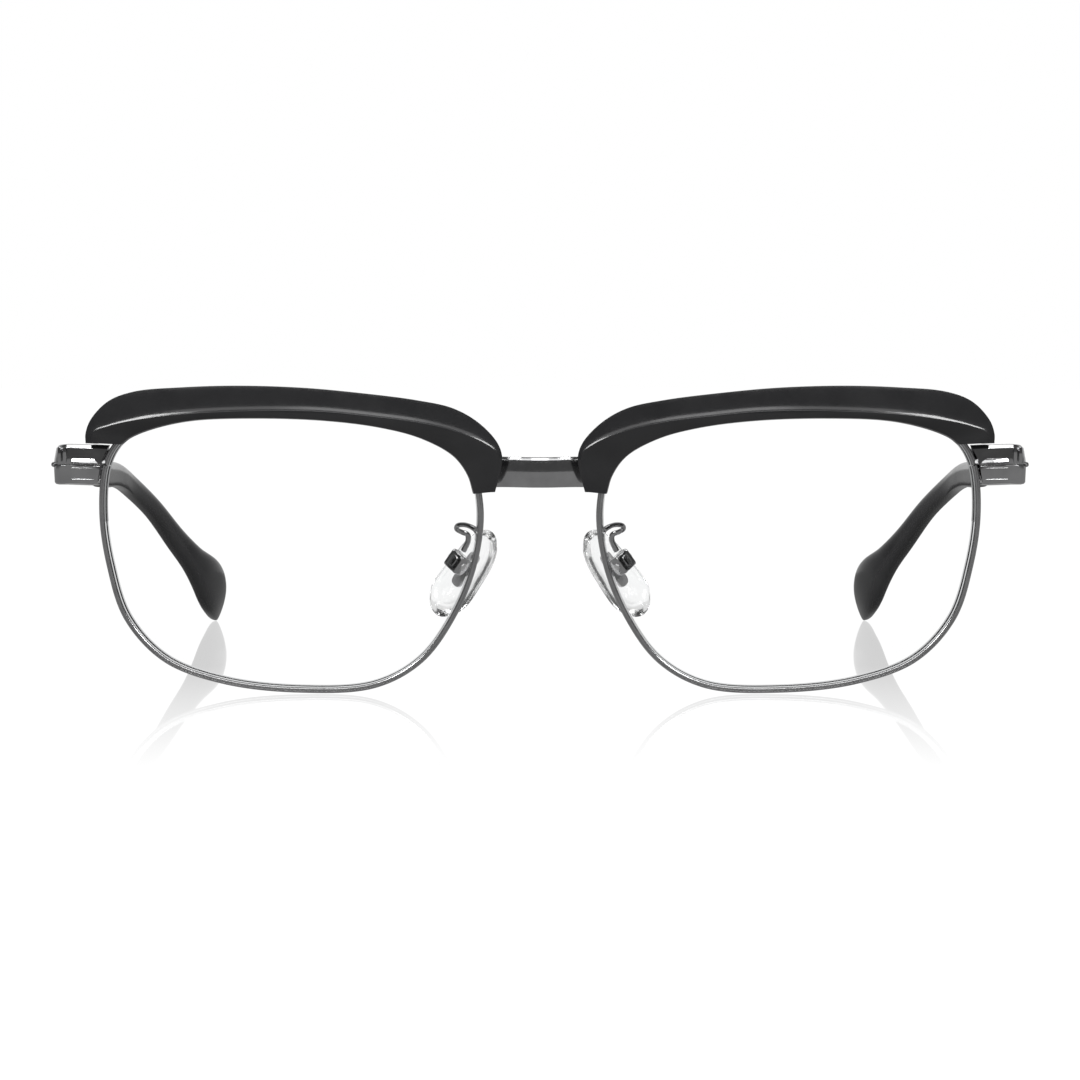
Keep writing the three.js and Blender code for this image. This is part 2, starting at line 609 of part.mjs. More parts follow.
// Along the sleeve from its mouth to the tip: its height, its thickness, and the angle in
// degrees by which its outer face turns to the back. The points crowd towards the tip.
const SLEEVE_FORM = new THREE.CatmullRomCurve3([
  vec(4.4, 2.4, 0), vec(3.9, 2.8, 3), vec(3.5, 2.8, 20), vec(3.4, 2.8, 30), vec(3.9, 2.9, 29.5),
  vec(5.2, 2.9, 27.5), vec(8.4, 3.0, 25), vec(9.4, 2.95, 24), vec(9.2, 2.9, 23),
], false, "catmullrom");
const sleeveForm = (distance) =>
  SLEEVE_FORM.getPoint(Math.max(0, (distance - SLEEVE_START) / SLEEVE_LENGTH) ** 2);

// The temple's section frame at a distance from the hinge: a point, its height direction and
// its outward direction.
function templeFrame(distance) {
  const share = distance / TEMPLE_LENGTH;
  const point = TEMPLE_PATH.getPointAt(share);
  const tangent = TEMPLE_PATH.getTangentAt(share);
  const turn = THREE.MathUtils.degToRad(sleeveForm(distance).z);
  const out = vec(Math.cos(turn), Math.sin(turn), 0);
  out.addScaledVector(tangent, -out.dot(tangent)).normalize();
  const up = new THREE.Vector3().crossVectors(out, tangent);
  return { point, up, out };
}

// A ring of the temple's section: an oblong of the given height and thickness, with corners
// rounded by a superellipse.
function templeRing(distance, height, thickness, sides, power) {
  const { point, up, out } = templeFrame(distance);
  const ring = [];
  for (let k = 0; k < sides; k++) {
    const angle = ((k + 0.5) / sides) * 2 * Math.PI;
    const rise = Math.sign(Math.cos(angle)) * Math.abs(Math.cos(angle)) ** power * height / 2;
    const proud = Math.sign(Math.sin(angle)) * Math.abs(Math.sin(angle)) ** power * thickness / 2;
    ring.push(point.clone().addScaledVector(up, rise).addScaledVector(out, proud));
  }
  return ring;
}

const ARM_HEIGHT = [5.5, 4.0]; // at the hinge and at the sleeve
const ARM_THICKNESS = 1.5;
const CORE = { height: 1.8, thickness: 1.2 };
const BORE = { height: 2.1, thickness: 1.5 };

// The metal temple arm, which narrows to a core wire inside the tip sleeve.
function templeArm() {
  const rings = [];
  const shoulder = SLEEVE_START - FIT;
  for (let i = 0; i <= 10; i++) {
    const share = i / 10;
    const height = THREE.MathUtils.lerp(ARM_HEIGHT[0], ARM_HEIGHT[1], share);
    rings.push(templeRing(shoulder * share, height, ARM_THICKNESS, 8, 0.5));
  }
  const coreEnd = TEMPLE_LENGTH - CORE_END;
  const steps = 16;
  for (let i = 0; i <= steps; i++) {
    const distance = THREE.MathUtils.lerp(shoulder + 0.02, coreEnd, i / steps);
    rings.push(templeRing(distance, CORE.height, CORE.thickness, 8, 0.5));
  }
  return loft(rings);
}

// The sleeve is one loft: from the rounded tip forward to the mouth, and back down the bore.
function templeTip() {
  const rings = [];
  const outerSteps = 30;
  const roundEnd = 5.4; // length of the blunt point at the end
  const endAngles = [86, 68, 48, 27].map(THREE.MathUtils.degToRad);
  const sleeveRing = (distance, scale) => {
    const { x: height, y: thickness } = sleeveForm(distance);
    return templeRing(distance, height * scale, thickness * Math.sqrt(scale), 12, 0.7);
  };
  for (const angle of endAngles) {
    const distance = TEMPLE_LENGTH - roundEnd * (1 - Math.sin(angle));
    rings.push(sleeveRing(distance, Math.cos(angle) ** 1.25));
  }
  for (let i = 0; i <= outerSteps; i++) {
    const distance = THREE.MathUtils.lerp(TEMPLE_LENGTH - roundEnd, SLEEVE_START, i / outerSteps);
    rings.push(sleeveRing(distance, 1));
  }
  const boreEnd = TEMPLE_LENGTH - CORE_END + 0.3;
  for (let i = 0; i <= 16; i++) {
    const distance = THREE.MathUtils.lerp(SLEEVE_START, boreEnd, i / 16);
    rings.push(templeRing(distance, BORE.height, BORE.thickness, 12, 0.6));
  }
  return loft(rings);
}

// ---------------------------------------------------------------- assembly

function side(name) {
  const half = new THREE.Group();
  half.add(piece(`rim_${name}`, rim(), "gunmetal"));
  half.add(piece(`lens_${name}`, lens(), "lens"));
  half.add(piece(`brow_${name}`, brow(), "acetate"));
  half.add(piece(`brow_tab_${name}`, browTab(), "gunmetal"));
  half.add(piece(`brow_screw_outer_${name}`, outerBrowScrew(), "steel"));
  half.add(piece(`brow_screw_inner_${name}`, innerBrowScrew(), "steel"));
  half.add(piece(`endpiece_${name}`, endpiece(), "gunmetal"));
  half.add(piece(`rim_lock_upper_${name}`, rimLock(1), "gunmetal"));
  half.add(piece(`rim_lock_lower_${name}`, rimLock(-1), "gunmetal"));
  half.add(piece(`rim_lock_screw_${name}`, rimLockScrew(), "steel"));
  half.add(piece(`pad_arm_${name}`, padArm(), "gunmetal"));
  half.add(piece(`pad_box_${name}`, padBox(), "gunmetal"));
  half.add(piece(`pad_screw_${name}`, padScrew(), "steel"));
  half.add(piece(`pad_insert_${name}`, padInsert(), "steel"));
  half.add(piece(`nose_pad_${name}`, nosePad(), "silicone"));

  const temple = new THREE.Group();
  temple.position.copy(HINGE);
  temple.rotation.x = -PANTOSCOPIC_TILT;
  temple.add(piece(`hinge_front_${name}`, hingeFront(), "gunmetal"));
  temple.add(piece(`hinge_temple_${name}`, hingeTemple(), "gunmetal"));
  temple.add(piece(`hinge_screw_${name}`, hingeScrew(), "steel"));
  temple.add(piece(`temple_arm_${name}`, templeArm(), "gunmetal"));
  temple.add(piece(`temple_tip_${name}`, templeTip(), "acetate"));
  half.add(temple);
  return half;
}

// Tips the open glasses forward or back until rims and temple tips touch the ground together,
// and puts the middle of their footprint at the origin.
function standOnGround(glasses) {
  const lowest = (prefix) => {
    let best = null;
    glasses.updateMatrixWorld(true);
    glasses.traverse((node) => {
      if (node.isMesh && node.name.startsWith(prefix)) {
        const position = node.geometry.attributes.position;
        for (let i = 0; i < position.count; i++) {
          const p = new THREE.Vector3().fromBufferAttribute(position, i).applyMatrix4(node.matrixWorld);
          best = best === null || p.z < best.z ? p : best;
        }
      }
    });
    return best;
  };
  for (let i = 0; i < 6; i++) {
    const front = lowest("rim_left");
    const back = lowest("temple_tip_left");
    glasses.rotation.x -= Math.atan2(back.z - front.z, back.y - front.y);
  }
  glasses.updateMatrixWorld(true);
  const bounds = new THREE.Box3().setFromObject(glasses, true);
  const centre = bounds.getCenter(new THREE.Vector3());
  glasses.position.set(-centre.x, -centre.y, -bounds.min.z);
}

const glasses = new THREE.Group();
const left = side("left");
const right = side("right");
right.scale.x = -1;
glasses.add(left, right, piece("bridge", bridge(), "gunmetal"));
standOnGround(glasses);

export default glasses;
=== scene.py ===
"""Browline eyeglasses in black acetate and gunmetal, standing open on a white table.

Shapes are drawn in millimetres. Pieces of the front are drawn in the front's own frame, and
pieces of a temple in the temple's, where the hinge axis is Z and the temple runs back along +Y.
Each side is drawn as the left one, at +X, and mirrored for the right.
"""

import json
import math

import bpy
import numpy as np
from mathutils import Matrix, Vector


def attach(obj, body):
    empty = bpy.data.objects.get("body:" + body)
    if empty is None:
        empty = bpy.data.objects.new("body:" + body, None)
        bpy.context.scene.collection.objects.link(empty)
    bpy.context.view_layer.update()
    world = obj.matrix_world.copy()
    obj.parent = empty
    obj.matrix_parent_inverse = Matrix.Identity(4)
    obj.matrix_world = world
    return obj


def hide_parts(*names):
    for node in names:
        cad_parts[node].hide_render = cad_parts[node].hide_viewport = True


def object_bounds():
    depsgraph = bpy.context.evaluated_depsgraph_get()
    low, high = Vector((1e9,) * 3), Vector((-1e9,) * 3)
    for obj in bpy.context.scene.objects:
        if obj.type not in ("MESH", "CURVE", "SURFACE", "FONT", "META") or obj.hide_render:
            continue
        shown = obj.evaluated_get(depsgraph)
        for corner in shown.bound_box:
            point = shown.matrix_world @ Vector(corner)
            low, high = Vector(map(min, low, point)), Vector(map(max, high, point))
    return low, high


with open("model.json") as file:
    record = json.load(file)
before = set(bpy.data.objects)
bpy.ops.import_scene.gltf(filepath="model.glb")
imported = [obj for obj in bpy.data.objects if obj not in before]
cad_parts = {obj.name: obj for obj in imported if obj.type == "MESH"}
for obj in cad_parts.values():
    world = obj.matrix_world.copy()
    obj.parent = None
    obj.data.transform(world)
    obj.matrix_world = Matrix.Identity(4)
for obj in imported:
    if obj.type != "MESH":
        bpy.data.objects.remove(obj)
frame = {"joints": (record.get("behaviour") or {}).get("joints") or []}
cad_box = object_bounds()

MM = 0.001

# ---------------------------------------------------------------- dimensions shared with the CAD

LENS_CENTRE_X = 35.75
LENS_CENTRE_Z = 20.0
FACE_RADIUS = 115.0
FACE_WRAP = math.radians(4)
PANTOSCOPIC_TILT = math.radians(8)

RIM_HALF_WIDTH = 0.42
RIM_HALF_DEPTH = 0.8
RIM_EDGE_DEPTH = -0.6
RIM_GROOVE = 0.3
RIM_SLIT = 0.1
LENS_HALF_THICKNESS = 0.65
FIT = 0.08

BROW_START, BROW_END = 0.0278, 0.391
BROW_FLARE = 0.12
BROW_NOSE_SHARE = 0.86
BROW_RIDGE_DEPTH = -2.92
BROW_END_TAPER = 0.4
BROW_WALL_DEPTH = -RIM_HALF_DEPTH - 0.12
BROW_BACK_DEPTH = 2.2
BROW_CHANNEL = RIM_HALF_WIDTH + 0.12

BRIDGE_Z = 31.7
BRIDGE_HALF_HEIGHT = 2.2
BRIDGE_THICKNESS = 1.5
INNER_SCREW = (6.9, 31.7)

ENDPIECE_Z = 32.4
ENDPIECE_HALF_HEIGHT = 2.8
ENDPIECE_THICKNESS = 1.6
ENDPIECE_CORNER = 2.4
ENDPIECE_SIDE_X = 70.3
ENDPIECE_FRONT = [(61, 4.75), (64.5, 5.45), (ENDPIECE_SIDE_X - ENDPIECE_CORNER, 6.15)]

HINGE = np.array([67.3, 12, 31.55])
SLEEVE_LENGTH = 77.0
TIP_ROUNDING = 10.0
ARM_ROOT_HEIGHT, ARM_END_HEIGHT = 5.5, 4.0
ARM_THICKNESS = 1.5

PAD_PIVOT = np.array([11.9, 7.8, 17.9])
PAD_LONG_AXIS = np.array([0.57, 0.06, -0.82])
PAD_SIDE_HINT = np.array([0.6, 0.71, 0.36])
PAD_LENGTH = 14.7
PAD_WIDTH = 8.0


# ---------------------------------------------------------------- frames

def turn_x(angle):
    c, s = math.cos(angle), math.sin(angle)
    return np.array([[1, 0, 0], [0, c, -s], [0, s, c]])


hinge_joint = next(j for j in frame["joints"] if j["name"] == "temple_left_fold")
FRONT_LEAN = PANTOSCOPIC_TILT - math.atan2(hinge_joint["axis"][1], hinge_joint["axis"][2])
FRONT_TURN = turn_x(FRONT_LEAN)
FRONT_ORIGIN = np.array(hinge_joint["pos_m"]) / MM - FRONT_TURN @ HINGE


def from_front(points):
    return (np.asarray(points) @ FRONT_TURN.T + FRONT_ORIGIN) * MM


def from_temple(points):
    return from_front(np.asarray(points) @ turn_x(-PANTOSCOPIC_TILT).T + HINGE)


def unit(v):
    v = np.asarray(v, float)
    return v / np.linalg.norm(v, axis=-1, keepdims=True)


def smoothstep(x, low, high):
    t = np.clip((np.asarray(x, float) - low) / (high - low), 0, 1)
    return t * t * (3 - 2 * t)


# ---------------------------------------------------------------- curves

def spline(points, at, closed=False, centripetal=True):
    """Points on a Catmull-Rom curve, at parameters from 0 to 1."""
    p = np.asarray(points, float)
    count = len(p)
    spans = count if closed else count - 1
    if closed:
        p = np.vstack([p[-1], p, p[0], p[1]])
    else:
        p = np.vstack([2 * p[0] - p[1], p, 2 * p[-1] - p[-2]])
    place = np.clip(np.asarray(at, float), 0, 1) * spans
    span = np.minimum(place.astype(int), spans - 1)
    t = (place - span)[:, None]
    a, b, c, d = (p[span + k] for k in range(4))
    if centripetal:
        ab, bc, cd = (np.linalg.norm(q - r, axis=1)[:, None] ** 0.5 for q, r in ((b, a), (c, b), (d, c)))
        m1 = ((b - a) / ab - (c - a) / (ab + bc) + (c - b) / bc) * bc
        m2 = ((c - b) / bc - (d - b) / (bc + cd) + (d - c) / cd) * bc
    else:
        m1 = (c - a) / 2
        m2 = (d - b) / 2
    return b + m1 * t + (3 * (c - b) - 2 * m1 - m2) * t ** 2 + (2 * (b - c) + m1 + m2) * t ** 3


class Path:
    """A curve read by the share of its length."""

    def __init__(self, points, closed=False):
        self.dense = spline(points, np.linspace(0, 1, 4001), closed)
        step = np.linalg.norm(np.diff(self.dense, axis=0), axis=1)
        self.run = np.concatenate([[0], np.cumsum(step)])
        self.length = self.run[-1]
        self.slope = np.gradient(self.dense, self.run, axis=0)

    def _read(self, table, share):
        run = np.asarray(share, float) * self.length
        return np.stack([np.interp(run, self.run, column) for column in table.T], axis=-1)

    def at(self, share):
        return self._read(self.dense, share)

    def tangent(self, share):
        return unit(self._read(self.slope, share))


# ---------------------------------------------------------------- shells

# A shell is a list of points and a list of faces. A piece is made of one or more shells.

def loft(rings, closed=False):
    """One skin through rings of points, with a flat cap at each end unless it is closed."""
    rings = np.asarray(rings, float)
    n, m, _ = rings.shape
    points = rings.reshape(-1, 3)
    faces = []
    for r in range(n if closed else n - 1):
        here, there = r * m, ((r + 1) % n) * m
        for k in range(m):
            ahead = (k + 1) % m
            faces.append((here + k, here + ahead, there + ahead, there + k))
    if not closed:
        faces.append(tuple(reversed(range(m))))
        faces.append(tuple(range((n - 1) * m, n * m)))
    volume = 0.0
    for face in faces:
        for k in range(1, len(face) - 1):
            a, b, c = points[face[0]], points[face[k]], points[face[k + 1]]
            volume += a @ np.array([b[1] * c[2] - b[2] * c[1], b[2] * c[0] - b[0] * c[2],
                                    b[0] * c[1] - b[1] * c[0]])
    if volume < 0:
        faces = [tuple(reversed(face)) for face in faces]
    return points, faces


def rounded(outlines, radii, steps=4):
    """Rounds the corners of closed outlines: (rows, corners, 2) to (rows, corners x steps, 2)."""
    p = np.asarray(outlines, float)
    flat = p.ndim == 2
    p = p[None] if flat else p
    radii = np.broadcast_to(np.asarray(radii, float), p.shape[1])[None, :, None]
    back, ahead = np.roll(p, 1, axis=1) - p, np.roll(p, -1, axis=1) - p
    back_length = np.linalg.norm(back, axis=2, keepdims=True) + 1e-9
    ahead_length = np.linalg.norm(ahead, axis=2, keepdims=True) + 1e-9
    start = p + back * np.minimum(radii / back_length, 0.47)
    end = p + ahead * np.minimum(radii / ahead_length, 0.47)
    bends = [(1 - t) ** 2 * start + 2 * t * (1 - t) * p + t ** 2 * end
             for t in np.linspace(0, 1, steps)]
    out = np.stack(bends, axis=2).reshape(p.shape[0], -1, p.shape[-1])
    return out[0] if flat else out


def inset(outline, distance):
    p = np.asarray(outline, float)
    edge = np.roll(p, -1, axis=0) - p
    area = np.sum(p[:, 0] * np.roll(p[:, 1], -1) - p[:, 1] * np.roll(p[:, 0], -1))
    normal = unit(np.stack([edge[:, 1], -edge[:, 0]], axis=1)) * np.sign(area)
    before = np.roll(normal, 1, axis=0)
    mitre = (normal + before) / (1 + np.sum(normal * before, axis=1, keepdims=True))
    return p - distance * mitre


def prism(outline, low, high, bevel=0.08, steps=3):
    """An outline in X and Y extruded along Z, with rounded edges."""
    rings = []
    arc = np.linspace(0, math.pi / 2, steps)
    for t in arc:
        rings.append((inset(outline, bevel * (1 - math.sin(t))), low + bevel * (1 - math.cos(t))))
    for t in arc[::-1]:
        rings.append((inset(outline, bevel * (1 - math.sin(t))), high - bevel * (1 - math.cos(t))))
    return loft([np.column_stack([ring, np.full(len(ring), z)]) for ring, z in rings])


def slab(width, height, radius, steps=5):
    """A rectangle with rounded corners, centred on zero."""
    w, h = width / 2, height / 2
    return rounded([(w, h), (-w, h), (-w, -h), (w, -h)], radius, steps)


def circle(radius, sides=24):
    t = np.linspace(0, 2 * math.pi, sides, endpoint=False)
    return np.column_stack([radius * np.cos(t), radius * np.sin(t)])


def turned(profile, sides=32):
    """A solid of revolution about Z, from (radius, height) steps."""
    profile = [(0.004, profile[0][1]), *profile, (0.004, profile[-1][1])]
    return loft([np.column_stack([circle(r, sides), np.full(sides, z)]) for r, z in profile])


def screw(radius, length, head_radius, head_height, slot=0.22):
    """A screw along +Z with a slotted, rounded head."""
    floor = length + 0.45 * head_height
    shank = turned([(radius - 0.06, 0), (radius, 0.06), (radius, length), (head_radius - 0.04, length),
                    (head_radius, length + 0.04), (head_radius, floor)])
    turn = math.asin(slot / 2 / head_radius)
    t = np.linspace(turn, math.pi - turn, 18)
    half = np.column_stack([head_radius * np.cos(t), head_radius * np.sin(t)])
    top = length + head_height
    halves = [prism(half * (1, s), floor - 0.03, top, 0.07) for s in (1, -1)]
    return [shank, *halves]


def placed(shells, origin, x_axis, z_axis):
    """Moves shells into the frame given by an origin and two of its axes."""
    z = unit(z_axis)
    x = np.asarray(x_axis, float)
    x = unit(x - z * (x @ z))
    axes = np.array([x, np.cross(z, x), z])
    return [(points @ axes + origin, faces) for points, faces in shells]


def lying(shells, axis):
    """Turns shells drawn along +Z so that they run along another axis: "x", "y", "-y" or "-z"."""
    frames = {"x": ((0, 1, 0), (1, 0, 0)), "y": ((1, 0, 0), (0, 1, 0)),
              "-y": ((1, 0, 0), (0, -1, 0)), "-z": ((1, 0, 0), (0, 0, -1))}
    return placed(shells, np.zeros(3), *frames[axis])


def moved(shells, x=0.0, y=0.0, z=0.0):
    return [(points + (x, y, z), faces) for points, faces in shells]


def tube(path, wide, deep, side, sides=20, steps=90):
    """A wire of oval section along a path. side is the direction its width lies in."""
    share = np.linspace(0, 1, steps)
    point, along = path.at(share), path.tangent(share)
    side = np.broadcast_to(np.asarray(side, float), point.shape)
    across = unit(side - along * np.sum(side * along, axis=1, keepdims=True))
    up = np.cross(along, across)
    wide = np.interp(share, np.linspace(0, 1, len(wide)), wide)[:, None, None]
    deep = np.interp(share, np.linspace(0, 1, len(deep)), deep)[:, None, None]
    ring = circle(1, sides)[None]
    return loft(point[:, None] + across[:, None] * ring[..., :1] * wide
                + up[:, None] * ring[..., 1:] * deep)


# ---------------------------------------------------------------- materials

class Finish:
    """A Principled material whose colour, roughness and bump come from procedural noise."""

    def __init__(self, name, colour, roughness, **sockets):
        self.material = bpy.data.materials.new(name)
        self.material.use_nodes = True
        self.nodes = self.material.node_tree.nodes
        self.links = self.material.node_tree.links
        self.shader = self.nodes["Principled BSDF"]
        self.coordinates = self.nodes.new("ShaderNodeTexCoord")
        for socket, value in sockets.items():
            self.shader.inputs[socket.replace("_", " ")].default_value = value
        self.colour(*colour)
        self.roughness(*roughness)

    def noise(self, scale, detail, stretch=(1, 1, 1)):
        mapping = self.nodes.new("ShaderNodeMapping")
        mapping.inputs["Scale"].default_value = stretch
        texture = self.nodes.new("ShaderNodeTexNoise")
        texture.inputs["Scale"].default_value = scale
        texture.inputs["Detail"].default_value = detail
        self.links.new(self.coordinates.outputs["Object"], mapping.inputs["Vector"])
        self.links.new(mapping.outputs["Vector"], texture.inputs["Vector"])
        return texture.outputs["Fac"]

    def colour(self, dark, light, scale):
        ramp = self.nodes.new("ShaderNodeValToRGB")
        ramp.color_ramp.elements[0].position = 0.3
        ramp.color_ramp.elements[1].position = 0.7
        ramp.color_ramp.elements[0].color = (*dark, 1)
        ramp.color_ramp.elements[1].color = (*light, 1)
        self.links.new(self.noise(scale, 4), ramp.inputs["Fac"])
        self.links.new(ramp.outputs["Color"], self.shader.inputs["Base Color"])

    def roughness(self, low, high, scale):
        spread = self.nodes.new("ShaderNodeMapRange")
        spread.inputs["From Min"].default_value = 0.3
        spread.inputs["From Max"].default_value = 0.7
        spread.inputs["To Min"].default_value = low
        spread.inputs["To Max"].default_value = high
        self.links.new(self.noise(scale, 3), spread.inputs["Value"])
        self.links.new(spread.outputs["Result"], self.shader.inputs["Roughness"])

    def bump(self, scale, strength, height, stretch=(1, 1, 1)):
        bump = self.nodes.new("ShaderNodeBump")
        bump.inputs["Strength"].default_value = strength
        bump.inputs["Distance"].default_value = height * MM
        self.links.new(self.noise(scale, 3, stretch), bump.inputs["Height"])
        self.links.new(bump.outputs["Normal"], self.shader.inputs["Normal"])


def make_finishes():
    plating = ((0.42, 0.42, 0.425), (0.5, 0.5, 0.505), 350)
    gunmetal = Finish("gunmetal plating", plating, (0.09, 0.14, 1500), Metallic=1.0)
    gunmetal.bump(2600, 0.03, 0.01, (1, 1, 0.25))
    wire = Finish("drawn gunmetal wire", plating, (0.2, 0.27, 900), Metallic=1.0)
    acetate = Finish("polished black acetate", ((0.016, 0.016, 0.017), (0.022, 0.022, 0.023), 160),
                     (0.13, 0.19, 900), IOR=1.5)
    acetate.bump(1800, 0.1, 0.01)
    steel = Finish("turned steel", ((0.62, 0.62, 0.625), (0.7, 0.7, 0.705), 500),
                   (0.3, 0.42, 2500), Metallic=0.75)
    steel.bump(3000, 0.15, 0.01)
    silicone = Finish("clear silicone", ((0.93, 0.94, 0.94), (0.97, 0.97, 0.97), 220),
                      (0.1, 0.16, 600), IOR=1.36, Transmission_Weight=1.0)
    silicone.bump(700, 0.1, 0.01)
    return {"gunmetal": gunmetal.material, "wire": wire.material, "acetate": acetate.material,
            "steel": steel.material, "silicone": silicone.material, "lens": make_lens_material()}


def make_lens_material():
    """Clear coated plastic: it lets everything through but a Fresnel share of gloss."""
    material = bpy.data.materials.new("clear coated lens")
    material.use_nodes = True
    nodes, links = material.node_tree.nodes, material.node_tree.links
    nodes.clear()
    output = nodes.new("ShaderNodeOutputMaterial")
    mix = nodes.new("ShaderNodeMixShader")
    clear = nodes.new("ShaderNodeBsdfTransparent")
    gloss = nodes.new("ShaderNodeBsdfGlossy")
    fresnel = nodes.new("ShaderNodeFresnel")
    coordinates = nodes.new("ShaderNodeTexCoord")
    noise = nodes.new("ShaderNodeTexNoise")
    tint = nodes.new("ShaderNodeValToRGB")
    clear.inputs["Color"].default_value = (1, 1, 1, 1)
    noise.inputs["Scale"].default_value = 60
    tint.color_ramp.elements[0].color = (0.95, 0.97, 0.98, 1)
    tint.color_ramp.elements[1].color = (0.99, 0.99, 0.99, 1)
    gloss.inputs["Roughness"].default_value = 0.02
    fresnel.inputs["IOR"].default_value = 1.12
    links.new(coordinates.outputs["Object"], noise.inputs["Vector"])
    links.new(noise.outputs["Fac"], tint.inputs["Fac"])
    links.new(tint.outputs["Color"], gloss.inputs["Color"])
    links.new(fresnel.outputs["Fac"], mix.inputs["Fac"])
    links.new(clear.outputs["BSDF"], mix.inputs[1])
    links.new(gloss.outputs["BSDF"], mix.inputs[2])
    links.new(mix.outputs["Shader"], output.inputs["Surface"])
    return material


finishes = make_finishes()

# ---------------------------------------------------------------- the front's shape

RIM = Path([
    (26.6, 12.4), (24.9, 15.6), (21.7, 18.1), (16.0, 19.65), (6, 20.3),
    (-5, 20.0), (-14, 18.75), (-21.1, 16.5), (-25.6, 12.8), (-27.2, 6.7),
    (-26.25, -1.35), (-23.1, -9.1), (-18.5, -15.35), (-12.05, -18.9), (-1.5, -19.65),
    (10, -18.5), (18.35, -15.5), (23.75, -9.7), (26.2, -2.0), (27.2, 5.5),
], closed=True)


def face_depth(u, v):
    """How far the lens surface lies behind its centre."""
    return (u * u + v * v) / (2 * FACE_RADIUS) + u * math.tan(FACE_WRAP)


def rim_frame(share, turn=0.0):
    """At shares of the way round the rim: points on the middle line of its wire, the direction
    away from the lens, and the direction to the back."""
    share = np.atleast_1d(np.asarray(share, float)) % 1.0
    p, t = RIM.at(share), RIM.tangent(share)
    slope_u = p[:, 0] / FACE_RADIUS + math.tan(FACE_WRAP)
    slope_v = p[:, 1] / FACE_RADIUS
    c, s = np.cos(turn), np.sin(turn)
    out_u = t[:, 1] * c - t[:, 0] * s
    out_v = -t[:, 0] * c - t[:, 1] * s
    out = unit(np.column_stack([out_u, out_u * slope_u + out_v * slope_v, out_v]))
    back = unit(np.column_stack([-slope_u, np.ones(len(p)), -slope_v]))
    depth = face_depth(p[:, 0], p[:, 1])
    point = np.column_stack([LENS_CENTRE_X + p[:, 0], depth, LENS_CENTRE_Z + p[:, 1]])
    return point, out, back


def on_rim(rim, outline):
    """Points at (away from the lens, to the back) of each frame. outline is one or one each."""
    point, out, back = rim
    outline = np.asarray(outline, float)
    outline = np.broadcast_to(outline, (len(point), *outline.shape[-2:]))
    return point[:, None] + out[:, None] * outline[..., :1] + back[:, None] * outline[..., 1:]


def at_rim(shells, share, away=0.0, behind=0.0):
    """Places shells drawn at the rim: x away from the lens, z to the front."""
    point, out, back = rim_frame(share)
    return placed(shells, point[0] + out[0] * away + back[0] * behind, out[0], -back[0])


def make_rim():
    """A wire with a fine groove along its front and a deeper one inside, where the lens sits."""
    section = rounded([
        (0.415, -0.48), (0.33, -0.7), (0.1, -0.78), (0.02, -0.72), (-0.06, -0.79),
        (-0.31, -0.75), (-0.42, -0.56), (-0.42, -0.3), (-0.12, 0), (-0.42, 0.3), (-0.42, 0.6),
        (-0.27, 0.8), (0.27, 0.8), (0.415, 0.6),
    ], [0.1, 0.07, 0.05, 0.03, 0.06, 0.1, 0.1, 0.03, 0.03, 0.03, 0.1, 0.1, 0.1, 0.1])
    slit = RIM_SLIT / RIM.length
    return [loft(on_rim(rim_frame(np.linspace(slit, 1 - slit, 600)), section))]


def make_lens():
    """Two curved faces, and an edge bevelled to fit the rim's groove."""
    edge = -RIM_HALF_WIDTH - FIT
    rim = rim_frame(np.linspace(0, 1, 240, endpoint=False))
    flat = on_rim(rim, [(edge, 0)])[:, 0] - (LENS_CENTRE_X, 0, LENS_CENTRE_Z)

    def face(scale, depth):
        u, v = flat[:, 0] * scale, flat[:, 2] * scale
        return np.column_stack([LENS_CENTRE_X + u, face_depth(u, v) + depth, LENS_CENTRE_Z + v])

    scales = [0.03, 0.15, 0.3, 0.45, 0.6, 0.75, 0.88, 0.97]
    bevel = [(edge, -LENS_HALF_THICKNESS), (edge, -RIM_GROOVE), (edge + RIM_GROOVE, 0),
             (edge, RIM_GROOVE), (edge, LENS_HALF_THICKNESS)]
    rings = [face(s, -LENS_HALF_THICKNESS) for s in scales]
    rings += [on_rim(rim, [corner])[:, 0] for corner in bevel]
    rings += [face(s, LENS_HALF_THICKNESS) for s in reversed(scales)]
    return [loft(rings)]


# ---------------------------------------------------------------- brows

# The brow's guide lines on the face, from the temple to the nose, from the lens centre.
BROW_LOW_EDGE = Path([
    (23.9, 15.35), (22.7, 16.3), (19.6, 17.6), (14, 18.9), (5, 19.4), (-5, 19.15), (-13, 18.15),
    (-18.7, 16.6), (-23.2, 14.1), (-25.2, 11.4), (-26.0, 8.8),
])
BROW_RIDGE = Path([
    (28.2, 15.4), (27.6, 16.9), (25.5, 17.8), (21.5, 18.75), (16, 19.6), (6, 20.3), (-4, 20.35),
    (-12, 19.62), (-18, 18.8), (-23.2, 17.55), (-27.4, 15.8), (-29.3, 14.3), (-29.4, 12.3), (-28.8, 9.05),
])
BROW_TOP_EDGE = Path([
    (28.85, 15.35), (28.9, 16.6), (28.2, 18.6), (25.6, 21.3), (21.9, 22.75), (15, 23.5), (7, 23.85),
    (-2, 23.65), (-10, 22.95), (-18, 21.9), (-23, 20.75), (-26.6, 18.7), (-29.2, 15.9), (-29.9, 13.9),
    (-29.7, 12), (-28.9, 9.0),
])
BROW_TOP_SLOPE = 0.05
BROW_FACE_SLOPE = 0.12
BROW_CREST_DROP, BROW_CREST_LENGTH = 0.24, 0.5


